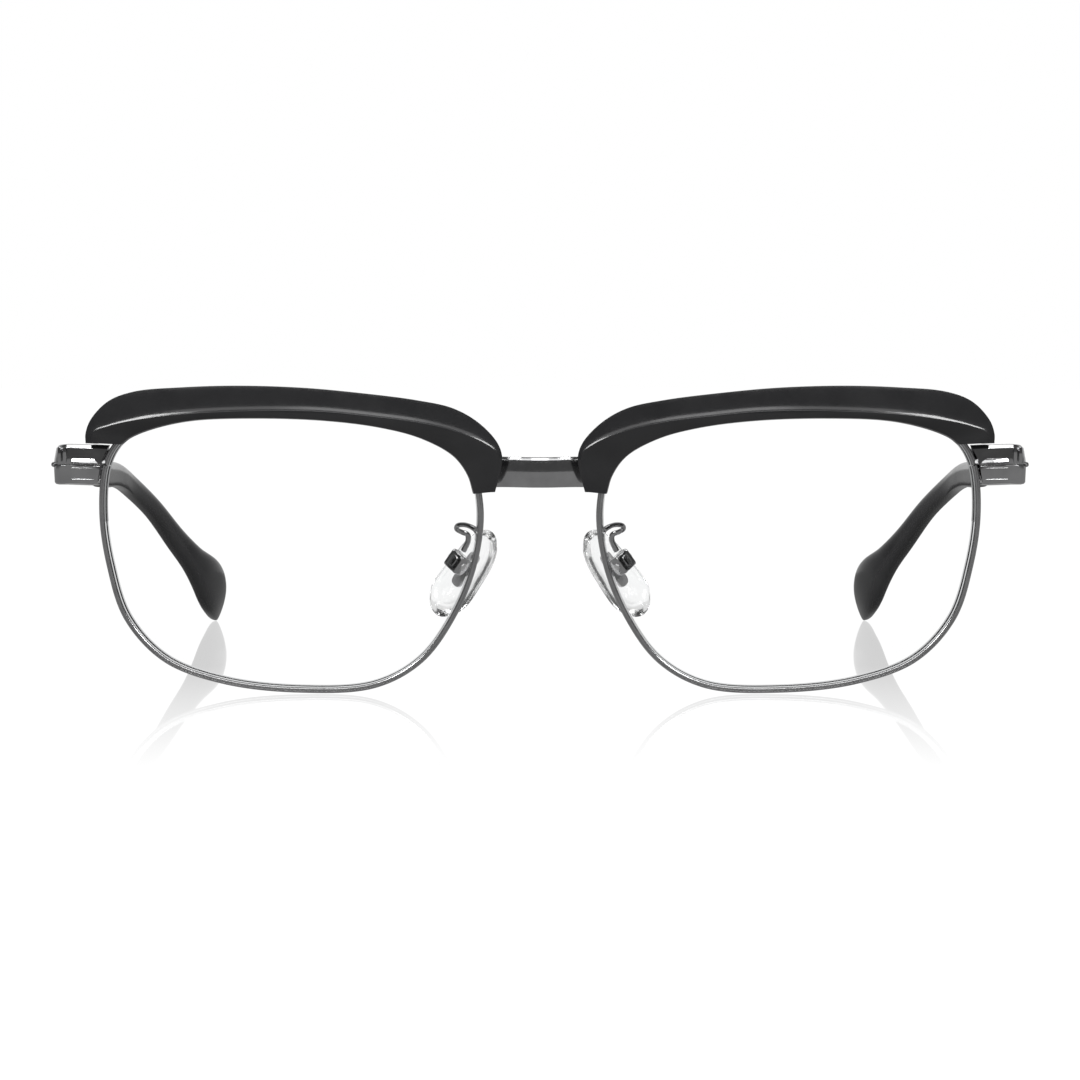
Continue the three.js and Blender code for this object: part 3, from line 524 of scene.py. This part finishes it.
def on_surface(u, v, depth):
    """Points that stand a depth behind the lens surface, along its normal."""
    slope_u, slope_v = u / FACE_RADIUS + math.tan(FACE_WRAP), v / FACE_RADIUS
    back = unit(np.column_stack([-slope_u, np.ones(len(u)), -slope_v]))
    base = np.column_stack([LENS_CENTRE_X + u, face_depth(u, v), LENS_CENTRE_Z + v])
    return base + back * np.broadcast_to(depth, len(u))[:, None]


def make_brow():
    """A bar with a ridge along its face, set back above it, and a channel for the rim."""
    shares = np.linspace(0, 1, 241)
    low, ridge, top = BROW_LOW_EDGE.at(shares), BROW_RIDGE.at(shares), BROW_TOP_EDGE.at(shares)
    rise = np.linalg.norm(top - ridge, axis=1)
    drop = np.linalg.norm(ridge - low, axis=1)
    start = RIM.tangent(BROW_START)
    turn = math.atan2(-start[0], start[1]) * (1 - smoothstep(shares, 0, BROW_FLARE))
    rim = rim_frame(BROW_START + (BROW_END - BROW_START) * shares, turn)
    nose_end = smoothstep(shares, BROW_NOSE_SHARE - 0.05, BROW_NOSE_SHARE)
    back = BROW_BACK_DEPTH + nose_end * (BROW_WALL_DEPTH + 0.05 - BROW_BACK_DEPTH)
    wall = np.full(len(shares), BROW_WALL_DEPTH)
    channel = BROW_CHANNEL / np.cos(turn)
    channel = on_rim(rim, np.stack([np.column_stack([channel, back]),
                                    np.column_stack([channel, wall])], axis=1))
    ridge_depth = BROW_RIDGE_DEPTH + BROW_END_TAPER * smoothstep(np.abs(shares - 0.5), 0.35, 0.5)

    def hollow(t):
        point = ridge + (top - ridge) * t
        run = rise * t
        crest = BROW_CREST_DROP * (1 - np.exp(-run / BROW_CREST_LENGTH))
        return on_surface(*point.T, ridge_depth + BROW_TOP_SLOPE * run + crest)

    outline = np.stack([
        on_surface(*low.T, ridge_depth + BROW_FACE_SLOPE * drop),
        hollow(0), hollow(0.05), hollow(0.1), hollow(0.17), hollow(0.28), hollow(0.45), hollow(0.7),
        hollow(1), on_surface(*top.T, back), channel[:, 0], channel[:, 1], on_surface(*low.T, wall),
    ], axis=1)
    radii = [0.06, 0.22, 0.1, 0.1, 0.15, 0.2, 0.3, 0.3, 0.06, 0.3, 0.05, 0.05, 0.06]
    return [loft(rounded(outline, radii))]


BROW_TAB_SHARE = 0.08
BROW_TAB_THICKNESS = 0.6
BROW_TAB_HALF_WIDTH = 1.5
OUTER_SCREW_AWAY, OUTER_SCREW_DEPTH = 2.0, 0.7


def make_brow_tab():
    """A foot on the rim and a plate behind the brow, drawn from the side."""
    foot, plate = RIM_HALF_DEPTH + FIT, BROW_BACK_DEPTH + FIT
    back = plate + BROW_TAB_THICKNESS
    outline = rounded([(-0.3, foot), (0.25, foot), (0.25, plate), (3.0, plate), (3.0, back), (-0.3, back)],
                      0.12)
    body = prism(outline, -BROW_TAB_HALF_WIDTH, BROW_TAB_HALF_WIDTH, 0.12)
    return at_rim(lying([body], "y"), BROW_TAB_SHARE)


def make_outer_screw():
    head = BROW_BACK_DEPTH + BROW_TAB_THICKNESS + 2 * FIT
    body = lying(screw(0.5, head + OUTER_SCREW_DEPTH, 0.9, 0.45), "-z")
    return at_rim(body, BROW_TAB_SHARE, OUTER_SCREW_AWAY, -OUTER_SCREW_DEPTH)


# ---------------------------------------------------------------- bridge

def bridge_depth(x):
    """How far the bridge's face lies behind the middle of the lenses."""
    return 0.45 + 1.25 * smoothstep(np.abs(x), 0.5, 6.5)


def make_bridge():
    """A bar with a crowned face, cut at each end to the rim's outer edge."""
    h, t = BRIDGE_HALF_HEIGHT, BRIDGE_THICKNESS
    rise = np.linspace(h - 0.42, -h + 0.3, 12)
    above = rise - 0.35
    face = 0.06 + 0.12 * above + 0.077 * above ** 2
    section = rounded([
        (h, 0.6), *np.column_stack([rise, face]), (-h, 0.45), (-h, t), (h - 0.3, t),
    ], [0.05, 0.06, *[0.1] * 10, 0.08, 0.1, 0.2, 0.2])
    edge = on_rim(rim_frame(np.linspace(0.43, 0.32, 200)),
                  [(RIM_HALF_WIDTH, RIM_EDGE_DEPTH), (RIM_HALF_WIDTH + 2 * FIT, RIM_EDGE_DEPTH)])
    rings = []
    for share in np.linspace(-1, 1, 81):
        arch = 0.15 * (1 - share * share)
        z = BRIDGE_Z + section[:, 0] + arch
        x = share * np.interp(z, edge[:, 0, 2], edge[:, 1, 0])
        rings.append(np.column_stack([x, bridge_depth(x) + section[:, 1], z]))
    return [loft(rings)]


def make_inner_screw():
    seat = bridge_depth(INNER_SCREW[0]) + BRIDGE_THICKNESS + 0.2
    body = lying(screw(0.5, seat - 0.1, 0.9, 0.45), "y")
    return moved(body, INNER_SCREW[0], 0.1, INNER_SCREW[1])


# ---------------------------------------------------------------- endpieces

def endpiece_stations():
    """Points along the endpiece's face with their outward and upward directions."""
    up_front = np.array([0, 0, 1.0])
    up_temple = np.array([0, math.sin(PANTOSCOPIC_TILT), math.cos(PANTOSCOPIC_TILT)])
    stations = [((x, y, ENDPIECE_Z), unit((0.15, -1, 0)), up_front) for x, y in ENDPIECE_FRONT]
    corner_x, corner_y = ENDPIECE_FRONT[-1]
    for angle in np.linspace(0, math.pi / 2, 13)[1:]:
        x = corner_x + ENDPIECE_CORNER * math.sin(angle)
        y = corner_y + ENDPIECE_CORNER * (1 - math.cos(angle))
        out = np.array([math.sin(angle), -math.cos(angle), 0])
        up = unit(up_front + (up_temple - up_front) * angle / (math.pi / 2))
        z = ENDPIECE_Z - (y - corner_y) * math.tan(PANTOSCOPIC_TILT)
        stations.append(((x, y, z), out, up))
    to_hinge = np.array([0, math.cos(PANTOSCOPIC_TILT), -math.sin(PANTOSCOPIC_TILT)])
    end = np.array([ENDPIECE_SIDE_X, HINGE[1], HINGE[2]]) - to_hinge * FIT
    stations.append((end, np.array([1.0, 0, 0]), up_temple))
    return [(np.asarray(at, float), out, up) for at, out, up in stations]


def temple_edge(height):
    """Where the rim's outer edge crosses a height on the temple side."""
    edge = on_rim(rim_frame(np.linspace(0.93, 1.05, 200)),
                  [(RIM_HALF_WIDTH, RIM_EDGE_DEPTH), (RIM_HALF_WIDTH + 4 * FIT, RIM_EDGE_DEPTH)])
    return np.interp(height, edge[:, 0, 2], edge[:, 1, 0])


def make_endpiece():
    """A plate that starts at the rim, turns the corner and runs back to the hinge."""
    h, t = ENDPIECE_HALF_HEIGHT, ENDPIECE_THICKNESS
    section = rounded([
        (h, -0.75), (h - 0.42, -0.35), (0.95, -0.1), (0.05, -0.02), (0.0, -0.2), (-0.1, -0.2),
        (-0.15, 0.0), (-h + 0.25, -0.12), (-h, -0.35), (-h, -t), (h, -t),
    ], [0.06, 0.05, 0.06, 0.03, 0.03, 0.03, 0.04, 0.08, 0.08, 0.1, 0.1])
    stations = endpiece_stations()
    rings = []
    for i, (at, out, up) in enumerate(stations):
        ring = at + up * section[:, :1] + out * section[:, 1:]
        if i == 0:
            ring[:, 0] = temple_edge(ring[:, 2])
        rings.append(ring)
    return [loft(rings), *endpiece_trim(stations)]


def on_face(shells, stations, x, rise, proud=0.0):
    """Places shells on the endpiece's front face: x along it, y up, z outward."""
    (start, out, up), (end, _, _) = stations[0], stations[2]
    share = (x - start[0]) / (end[0] - start[0])
    origin = start + (end - start) * share + up * rise + out * proud
    return placed(shells, origin, end - start, np.cross(end - start, up))


BAR_TILT = math.radians(26)


def endpiece_trim(stations):
    """The raised bar and the inset lines on the face, and the ribbed collar at the corner."""
    bar = placed([prism(slab(5.1, 0.85, 0.38, 8), -0.3, 0.1, 0.05, 4)], np.zeros(3), (1, 0, 0),
                 (0, math.sin(BAR_TILT), math.cos(BAR_TILT)))
    shells = on_face(bar, stations, 65.0, 0.5, 0.05)
    for rise in (-0.55, -2.2):
        line = prism(slab(4.6, 0.22, 0.1), -0.1, 0.1, 0.09, 5)
        shells += on_face([line], stations, 65.2, rise)
    for index, radius in ((4, 0.3), (7, 0.34)):
        at, out, up = stations[index]
        rib = turned([(radius * 0.6, 0), (radius, 0.25), (radius, 2.05), (radius * 0.7, 2.35)], 20)
        shells += placed([rib], at + up * 0.15 - out * (radius * 0.45), np.cross(up, out), up)
    at, out, up = stations[-4]
    stud = turned([(0.1, -0.5), (0.32, -0.25), (0.38, 0.0), (0.32, 0.25), (0.1, 0.5)], 20)
    shells += placed([stud], at + up * 0.02 + out * 0.05, up, np.cross(up, out))
    return shells


LOCK_SIZE = (1.6, 2.0, 1.6)
LOCK_OUT = 1.1
LOCK_DEPTH = RIM_HALF_DEPTH + FIT + LOCK_SIZE[2] / 2


def make_rim_lock(side):
    """The upper (1) or lower (-1) half of the block that closes the rim behind the endpiece."""
    out, tall, deep = LOCK_SIZE
    body = moved([prism(slab(out, tall, 0.35), -deep / 2, deep / 2, 0.15)],
                 y=side * (tall / 2 + RIM_SLIT))
    return at_rim(body, 0, LOCK_OUT, LOCK_DEPTH)


def make_lock_screw():
    length = LOCK_SIZE[1] * 2 + 2 * RIM_SLIT - 0.2
    body = moved(screw(0.45, length, 0.75, 0.4, 0.2), z=-length / 2 + 0.2)
    return at_rim(lying(body, "-y"), 0, LOCK_OUT, LOCK_DEPTH)


# ---------------------------------------------------------------- nose pads

# In the pad's own frame x runs along its screw, y down along the pad, and z towards the nose.

def at_pad(shells):
    long_axis = unit(PAD_LONG_AXIS)
    to_nose = unit(np.cross(PAD_SIDE_HINT, long_axis))
    return placed(shells, PAD_PIVOT, np.cross(long_axis, to_nose), to_nose)


def make_pad_box():
    """A rounded base with two walls and two ears that hold the pad's lug between them."""
    base = prism(slab(2.6, 2.7, 0.9, 8), -1.1, -0.62, 0.2, 5)
    foot = prism(slab(1.2, 1.7, 0.55, 8), -1.25, -1.0, 0.12, 4)
    walls = [moved([prism(slab(1.9, 0.36, 0.12), -0.9, 0.5, 0.1)], y=s * 1.18)[0] for s in (1, -1)]
    ear = prism(rounded([(-1.1, -1.4), (0.9, -1.4), (1.1, 0), (0.9, 1.4), (-1.1, 1.4)],
                        [0.5, 0.7, 0.6, 0.7, 0.5], 7), -0.22, 0.22, 0.16, 5)
    ears = []
    for side in (1, -1):
        ears += placed([ear], np.array([side * 1.13, 0, 0]), (0, 0, 1), (-1, 0, 0))
    return at_pad([base, foot, *walls, *ears])


def make_pad_screw():
    """A screw through the box, peened over at its far end."""
    rivet = turned([(0.35, -0.17), (0.52, -0.12), (0.58, 0.0), (0.58, 0.06)], 24)
    return at_pad(moved(lying([*screw(0.35, 2.8, 0.65, 0.35, 0.18), rivet], "x"), x=-1.38))


def make_pad_insert():
    """The lug that the screw goes through, on a plate inside the pad."""
    lug = prism(slab(1.3, 1.1, 0.3), -0.5, 2.2, 0.12)
    plate = moved([prism(slab(2.2, 5.8, 1.05, 9), 2.1, 2.6, 0.1)], y=0.5)
    return at_pad([lug, *plate])


def pad_ring(scale, height, sides=72):
    """The pad's outline, a drop that is wider below, at a height towards the nose."""
    t = np.linspace(0, 2 * math.pi, sides, endpoint=False)
    share = np.sin(t)
    width = PAD_WIDTH / 2 * (1 + share ** 2) ** 0.5 * (0.86 + 0.14 * share)
    x = np.cos(t) * np.minimum(width, PAD_WIDTH / 2 * 1.15)
    return np.column_stack([0.3 + x * scale, 1.2 + share * PAD_LENGTH / 2 * scale,
                            np.full(sides, 3.0 + height)])


def make_nose_pad():
    """A flat back with a raised rim, a step round the side, and a domed face to the nose."""
    layers = [(0.05, -0.66), (0.5, -0.66), (0.72, -0.66), (0.76, -0.7), (0.8, -0.85), (0.88, -0.88),
              (0.95, -0.78), (0.99, -0.52), (1.0, -0.25), (0.99, 0.0), (0.965, 0.2), (0.93, 0.34),
              (0.91, 0.55), (0.87, 0.95), (0.79, 1.35), (0.66, 1.7), (0.48, 1.95), (0.27, 2.07),
              (0.05, 2.1)]
    return at_pad([loft([pad_ring(scale, height) for scale, height in layers])])


def make_pad_arm():
    """A swan-neck wire from the rim up, back and down to the box."""
    route = Path([
        (9.0, 2.3, 23.1), (9.2, 2.8, 23.3), (10.0, 3.6, 23.7), (11.0, 4.5, 23.85), (11.9, 5.3, 23.6),
        (12.0, 6.0, 23.0), (11.3, 6.5, 22.5), (10.5, 6.9, 22.1), (10.35, 7.1, 21.4), (10.6, 7.4, 20.6),
        (11.1, 7.6, 19.6),
    ])
    wide = [0.44, 0.4, 0.36, 0.36, 0.42, 0.44]
    deep = [0.44, 0.36, 0.36, 0.36, 0.42, 0.44]
    return [tube(route, wide, deep, (0, 1, 0))]


# ---------------------------------------------------------------- hinges and temples

BARREL_RADIUS = 1.2


def barrel(low, high):
    chamfer = 0.08
    return turned([(BARREL_RADIUS - chamfer, low), (BARREL_RADIUS, low + chamfer),
                   (BARREL_RADIUS, high - chamfer), (BARREL_RADIUS - chamfer, high)], 40)


def box(width, depth, height, x, y, z):
    return moved([prism(slab(width, depth, 0.15), -height / 2, height / 2, 0.1)], x, y, z)


def make_hinge_front():
    """Two barrels, each with a web to the plate on the endpiece."""
    low, high = 0.85, 2.4
    shells = [barrel(low, high), barrel(-high, -low)]
    for side in (1, -1):
        shells += box(0.55, 1.7, high - low, 0.92, -1.15, side * (low + high) / 2)
    return shells + box(0.6, 2.6, 4.8, 0.95, -2.5, 0)


def make_hinge_temple():
    """One barrel between the front's two, with a web to the plate on the temple."""
    half = 0.77
    web, plate = box(0.55, 1.7, 2 * half, 0.92, 1.15, 0), box(0.6, 4.2, 4.4, 0.95, 3.4, 0)
    return [barrel(-half, half), *web, *plate]


def make_hinge_screw():
    return moved(screw(0.5, 4.9, 0.95, 0.4), z=-2.4)


TEMPLE = Path([
    (2.25, FIT, 0), (2.8, 25, 0), (3.0, 50, 0), (2.9, 72, 0), (2.4, 88, 0), (1.3, 98, -1.4),
    (-2.0, 106.1, -5.3), (-5.4, 112, -10.4), (-7.9, 115.7, -13.8), (-10.1, 119.5, -17.1),
    (-11.2, 123.1, -20.2), (-11.0, 127.1, -24.28),
])
SLEEVE_START = TEMPLE.length - SLEEVE_LENGTH
SLEEVE_FORM = [
    (4.4, 2.35, 0), (3.9, 2.74, 3), (3.5, 2.74, 20), (3.4, 2.74, 30), (3.9, 2.84, 29.5),
    (5.2, 2.84, 27.5), (8.4, 2.94, 25), (9.4, 2.89, 24), (9.2, 2.84, 23),
]


def sleeve_form(distance):
    """The sleeve's height, thickness and turn to the back in degrees, at a distance from the hinge."""
    share = max(0.0, (distance - SLEEVE_START) / SLEEVE_LENGTH)
    return spline(SLEEVE_FORM, [share ** 2], centripetal=False)[0]


def temple_ring(distance, height, thickness, power, sides=40):
    """A ring of the temple's section: an oblong with superellipse corners."""
    share = distance / TEMPLE.length
    point, along = TEMPLE.at(share), TEMPLE.tangent(share)
    turn = math.radians(sleeve_form(distance)[2])
    out = np.array([math.cos(turn), math.sin(turn), 0])
    out = unit(out - along * (out @ along))
    up = np.cross(out, along)
    angle = (np.arange(sides) + 0.5) / sides * 2 * math.pi
    rise = np.sign(np.cos(angle)) * np.abs(np.cos(angle)) ** power * height / 2
    proud = np.sign(np.sin(angle)) * np.abs(np.sin(angle)) ** power * thickness / 2
    return point + up * rise[:, None] + out * proud[:, None]


def make_temple_arm():
    """A flat bar with softened ends, and the core wire that goes into the sleeve."""
    end = SLEEVE_START - FIT

    def ring(distance, height, cut):
        return temple_ring(distance, height - cut, ARM_THICKNESS - cut, 0.4)

    rings = [ring(0, ARM_ROOT_HEIGHT, 0.3), ring(0.05, ARM_ROOT_HEIGHT, 0.1)]
    for distance in np.linspace(0.15, end - 0.15, 60):
        height = ARM_ROOT_HEIGHT + (ARM_END_HEIGHT - ARM_ROOT_HEIGHT) * distance / end
        rings.append(ring(distance, height, 0))
    rings += [ring(end - 0.05, ARM_END_HEIGHT, 0.1), ring(end, ARM_END_HEIGHT, 0.3)]
    for distance in np.linspace(end + 0.05, end + 6, 12):
        rings.append(temple_ring(distance, 1.8, 1.2, 0.5))
    return [loft(rings)]


def make_temple_tip():
    """The sleeve, from its pointed end forward, with the core of the wire inside its front end."""
    shoulder = TEMPLE.length - TIP_ROUNDING

    def ring(distance, scale):
        height, thickness, _ = sleeve_form(distance)
        return temple_ring(distance, height * scale, thickness * scale ** 0.5, 0.7)

    rings = []
    for angle in np.radians(np.linspace(86, 4, 22)):
        rings.append(ring(shoulder + TIP_ROUNDING * math.sin(angle), math.cos(angle) ** 1.8))
    for distance in np.linspace(shoulder, SLEEVE_START + 0.25, 130):
        rings.append(ring(distance, 1))
    rings += [ring(SLEEVE_START + 0.08, 0.985), ring(SLEEVE_START, 0.94)]
    for distance in np.linspace(SLEEVE_START, SLEEVE_START + 8, 6):
        rings.append(temple_ring(distance, 2.1, 1.5, 0.6))
    return [loft(rings)]


# ---------------------------------------------------------------- pieces

def shells_of(made):
    """One list of points and faces from several shells."""
    points, faces, offset = [], [], 0
    for shell_points, shell_faces in made:
        points.append(shell_points)
        faces += [tuple(k + offset for k in face) for face in shell_faces]
        offset += len(shell_points)
    return np.vstack(points), faces


# The rim has a finish of its own.
# Widths of the bevels on pieces with sharp ends.
SOFTENED = {"brow": 0.08}


def add_piece(node, made, place, side, body, finish, soften=0.0):
    """Makes one mesh of a node's shells, mirrored for the right side, and puts it on its body."""
    points, faces = shells_of(made)
    points = place(points)
    if side == "right":
        points = points * (-1, 1, 1)
        faces = [tuple(reversed(face)) for face in faces]
    mesh = bpy.data.meshes.new(node + "_fine")
    mesh.from_pydata(points.tolist(), [], faces)
    mesh.shade_smooth()
    mesh.set_sharp_from_angle(angle=math.radians(40))
    piece = bpy.data.objects.new(node + "_fine", mesh)
    bpy.context.scene.collection.objects.link(piece)
    mesh.materials.append(finishes[finish])
    if soften:
        bevel = piece.modifiers.new("rounded ends", "BEVEL")
        bevel.width = soften * MM
        bevel.segments = 3
        bevel.limit_method = "ANGLE"
        bevel.angle_limit = math.radians(50)
    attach(piece, body)
    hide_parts(node)


FRONT_PIECES = {
    "rim": (make_rim, "wire"),
    "lens": (make_lens, "lens"),
    "brow": (make_brow, "acetate"),
    "brow_tab": (make_brow_tab, "gunmetal"),
    "brow_screw_outer": (make_outer_screw, "steel"),
    "brow_screw_inner": (make_inner_screw, "steel"),
    "endpiece": (make_endpiece, "gunmetal"),
    "rim_lock_upper": (lambda: make_rim_lock(1), "gunmetal"),
    "rim_lock_lower": (lambda: make_rim_lock(-1), "gunmetal"),
    "rim_lock_screw": (make_lock_screw, "steel"),
    "pad_arm": (make_pad_arm, "gunmetal"),
    "pad_box": (make_pad_box, "gunmetal"),
    "pad_screw": (make_pad_screw, "steel"),
}
HINGE_PIECES = {"hinge_front": (make_hinge_front, "gunmetal"), "hinge_screw": (make_hinge_screw, "steel")}
PAD_PIECES = {"pad_insert": (make_pad_insert, "steel"), "nose_pad": (make_nose_pad, "silicone")}
TEMPLE_PIECES = {
    "hinge_temple": (make_hinge_temple, "gunmetal"),
    "temple_arm": (make_temple_arm, "gunmetal"),
    "temple_tip": (make_temple_tip, "acetate"),
}

for pieces, place, body in ((FRONT_PIECES, from_front, "front"), (HINGE_PIECES, from_temple, "front"),
                            (PAD_PIECES, from_front, "pad_{}"), (TEMPLE_PIECES, from_temple, "temple_{}")):
    for name, (make, finish) in pieces.items():
        made = make()
        for side in ("left", "right"):
            add_piece(f"{name}_{side}", made, place, side, body.format(side), finish,
                      SOFTENED.get(name, 0.0))
add_piece("bridge", make_bridge(), from_front, "left", "front", "gunmetal")

# ---------------------------------------------------------------- table, light and camera

box_low, box_high = cad_box
FLOOR_SIZE = 3.0
FLOOR_GAP = 0.00002
# The table's gloss grows from nothing at the near line to its full share at the far line.
GLOSS_NEAR, GLOSS_FAR = box_low.y - 0.175, box_low.y + 0.051
GLOSS_SHARE = 0.48
# The table looks white to the camera and lights the glasses with a weaker glow.
TABLE_SEEN, TABLE_GLOW = 1.22, 0.32
# The camera's distance in front of the glasses and height above the table, and its lean.
CAMERA_DISTANCE, CAMERA_HEIGHT, CAMERA_ANGLE = 0.64555, 0.06195, math.radians(86.5)


def make_floor():
    """A white light table with a thin gloss that fades out in front of the glasses."""
    bpy.ops.mesh.primitive_plane_add(size=FLOOR_SIZE, location=(0, 0, box_low.z - FLOOR_GAP))
    floor = bpy.context.object
    floor.name = "light_table"
    material = bpy.data.materials.new("light table")
    material.use_nodes = True
    nodes, links = material.node_tree.nodes, material.node_tree.links
    nodes.clear()
    output = nodes.new("ShaderNodeOutputMaterial")
    mix = nodes.new("ShaderNodeMixShader")
    glow = nodes.new("ShaderNodeEmission")
    gloss = nodes.new("ShaderNodeBsdfGlossy")
    coordinates = nodes.new("ShaderNodeTexCoord")
    split = nodes.new("ShaderNodeSeparateXYZ")
    fade = nodes.new("ShaderNodeMapRange")
    rays = nodes.new("ShaderNodeLightPath")
    strength = nodes.new("ShaderNodeMapRange")
    gloss_share = nodes.new("ShaderNodeMath")
    seen = nodes.new("ShaderNodeMath")
    glow.inputs["Color"].default_value = (1, 1, 1, 1)
    gloss.inputs["Color"].default_value = (1, 1, 1, 1)
    gloss.inputs["Roughness"].default_value = 0.02
    strength.inputs["To Min"].default_value = TABLE_GLOW
    strength.inputs["To Max"].default_value = TABLE_SEEN
    fade.inputs["From Min"].default_value = GLOSS_NEAR
    fade.inputs["From Max"].default_value = GLOSS_FAR
    fade.inputs["To Max"].default_value = GLOSS_SHARE
    gloss_share.operation = "MULTIPLY"
    seen.operation = "MAXIMUM"
    links.new(rays.outputs["Is Camera Ray"], seen.inputs[0])
    links.new(rays.outputs["Is Transmission Ray"], seen.inputs[1])
    links.new(seen.outputs["Value"], strength.inputs["Value"])
    links.new(strength.outputs["Result"], glow.inputs["Strength"])
    links.new(coordinates.outputs["Object"], split.inputs["Vector"])
    links.new(split.outputs["Y"], fade.inputs["Value"])
    links.new(fade.outputs["Result"], gloss_share.inputs[0])
    links.new(seen.outputs["Value"], gloss_share.inputs[1])
    links.new(gloss_share.outputs["Value"], mix.inputs["Fac"])
    links.new(glow.outputs["Emission"], mix.inputs[1])
    links.new(gloss.outputs["BSDF"], mix.inputs[2])
    links.new(mix.outputs["Shader"], output.inputs["Surface"])
    floor.data.materials.append(material)


def make_world():
    """A white room, darker on the side that the glasses face."""
    world = bpy.data.worlds.new("studio")
    bpy.context.scene.world = world
    world.use_nodes = True
    nodes, links = world.node_tree.nodes, world.node_tree.links
    nodes.clear()
    output = nodes.new("ShaderNodeOutputWorld")
    mix = nodes.new("ShaderNodeMixShader")
    seen = nodes.new("ShaderNodeBackground")
    room = nodes.new("ShaderNodeBackground")
    rays = nodes.new("ShaderNodeLightPath")
    coordinates = nodes.new("ShaderNodeTexCoord")
    split = nodes.new("ShaderNodeSeparateXYZ")
    ramp = nodes.new("ShaderNodeMapRange")
    seen.inputs["Color"].default_value = (1, 1, 1, 1)
    ramp.inputs["From Min"].default_value = 0.3
    ramp.inputs["From Max"].default_value = 0.85
    ramp.inputs["To Min"].default_value = 0.12
    ramp.inputs["To Max"].default_value = 1.0
    links.new(coordinates.outputs["Generated"], split.inputs["Vector"])
    links.new(split.outputs["Y"], ramp.inputs["Value"])
    links.new(ramp.outputs["Result"], room.inputs["Strength"])
    links.new(rays.outputs["Is Camera Ray"], mix.inputs["Fac"])
    links.new(room.outputs["Background"], mix.inputs[1])
    links.new(seen.outputs["Background"], mix.inputs[2])
    links.new(mix.outputs["Shader"], output.inputs["Surface"])


def add_softbox(name, azimuth, elevation, distance, width, height, radiance):
    """A rectangular light that faces the glasses, azimuth degrees round from the front."""
    light = bpy.data.lights.new(name, "AREA")
    light.shape = "RECTANGLE"
    light.size, light.size_y = width, height
    light.energy = radiance * math.pi * width * height
    lamp = bpy.data.objects.new(name, light)
    bpy.context.scene.collection.objects.link(lamp)
    round_by, up_by = math.radians(azimuth), math.radians(elevation)
    towards = Vector((math.sin(round_by) * math.cos(up_by), -math.cos(round_by) * math.cos(up_by),
                      math.sin(up_by)))
    target = Vector((0, box_low.y, (box_low.z + box_high.z) / 2))
    lamp.location = target + towards * distance
    lamp.rotation_euler = towards.to_track_quat("Z", "Y").to_euler()


def make_camera():
    """A long lens in front of the glasses, a little above them and looking slightly down."""
    camera = bpy.data.cameras.new("camera")
    camera.lens = 151.33
    camera.sensor_width = 36
    eye = bpy.data.objects.new("camera", camera)
    bpy.context.scene.collection.objects.link(eye)
    eye.location = (0, box_low.y - CAMERA_DISTANCE, box_low.z + CAMERA_HEIGHT)
    eye.rotation_euler = (CAMERA_ANGLE, 0, 0)
    bpy.context.scene.camera = eye


make_floor()
make_world()
add_softbox("front softbox", 0, 41, 0.7, 0.86, 0.22, 1.7)
add_softbox("centre softbox", 0, 41, 0.69, 0.3, 0.22, 2.2)
add_softbox("overhead softbox", 0, 82, 0.7, 0.8, 0.4, 2.5)
for name, azimuth in (("left lamp", -62), ("right lamp", 62)):
    add_softbox(name, azimuth, 41, 0.7, 0.36, 0.18, 17.0)
make_camera()

scene = bpy.context.scene
scene.view_settings.view_transform = "Standard"
scene.view_settings.look = "None"
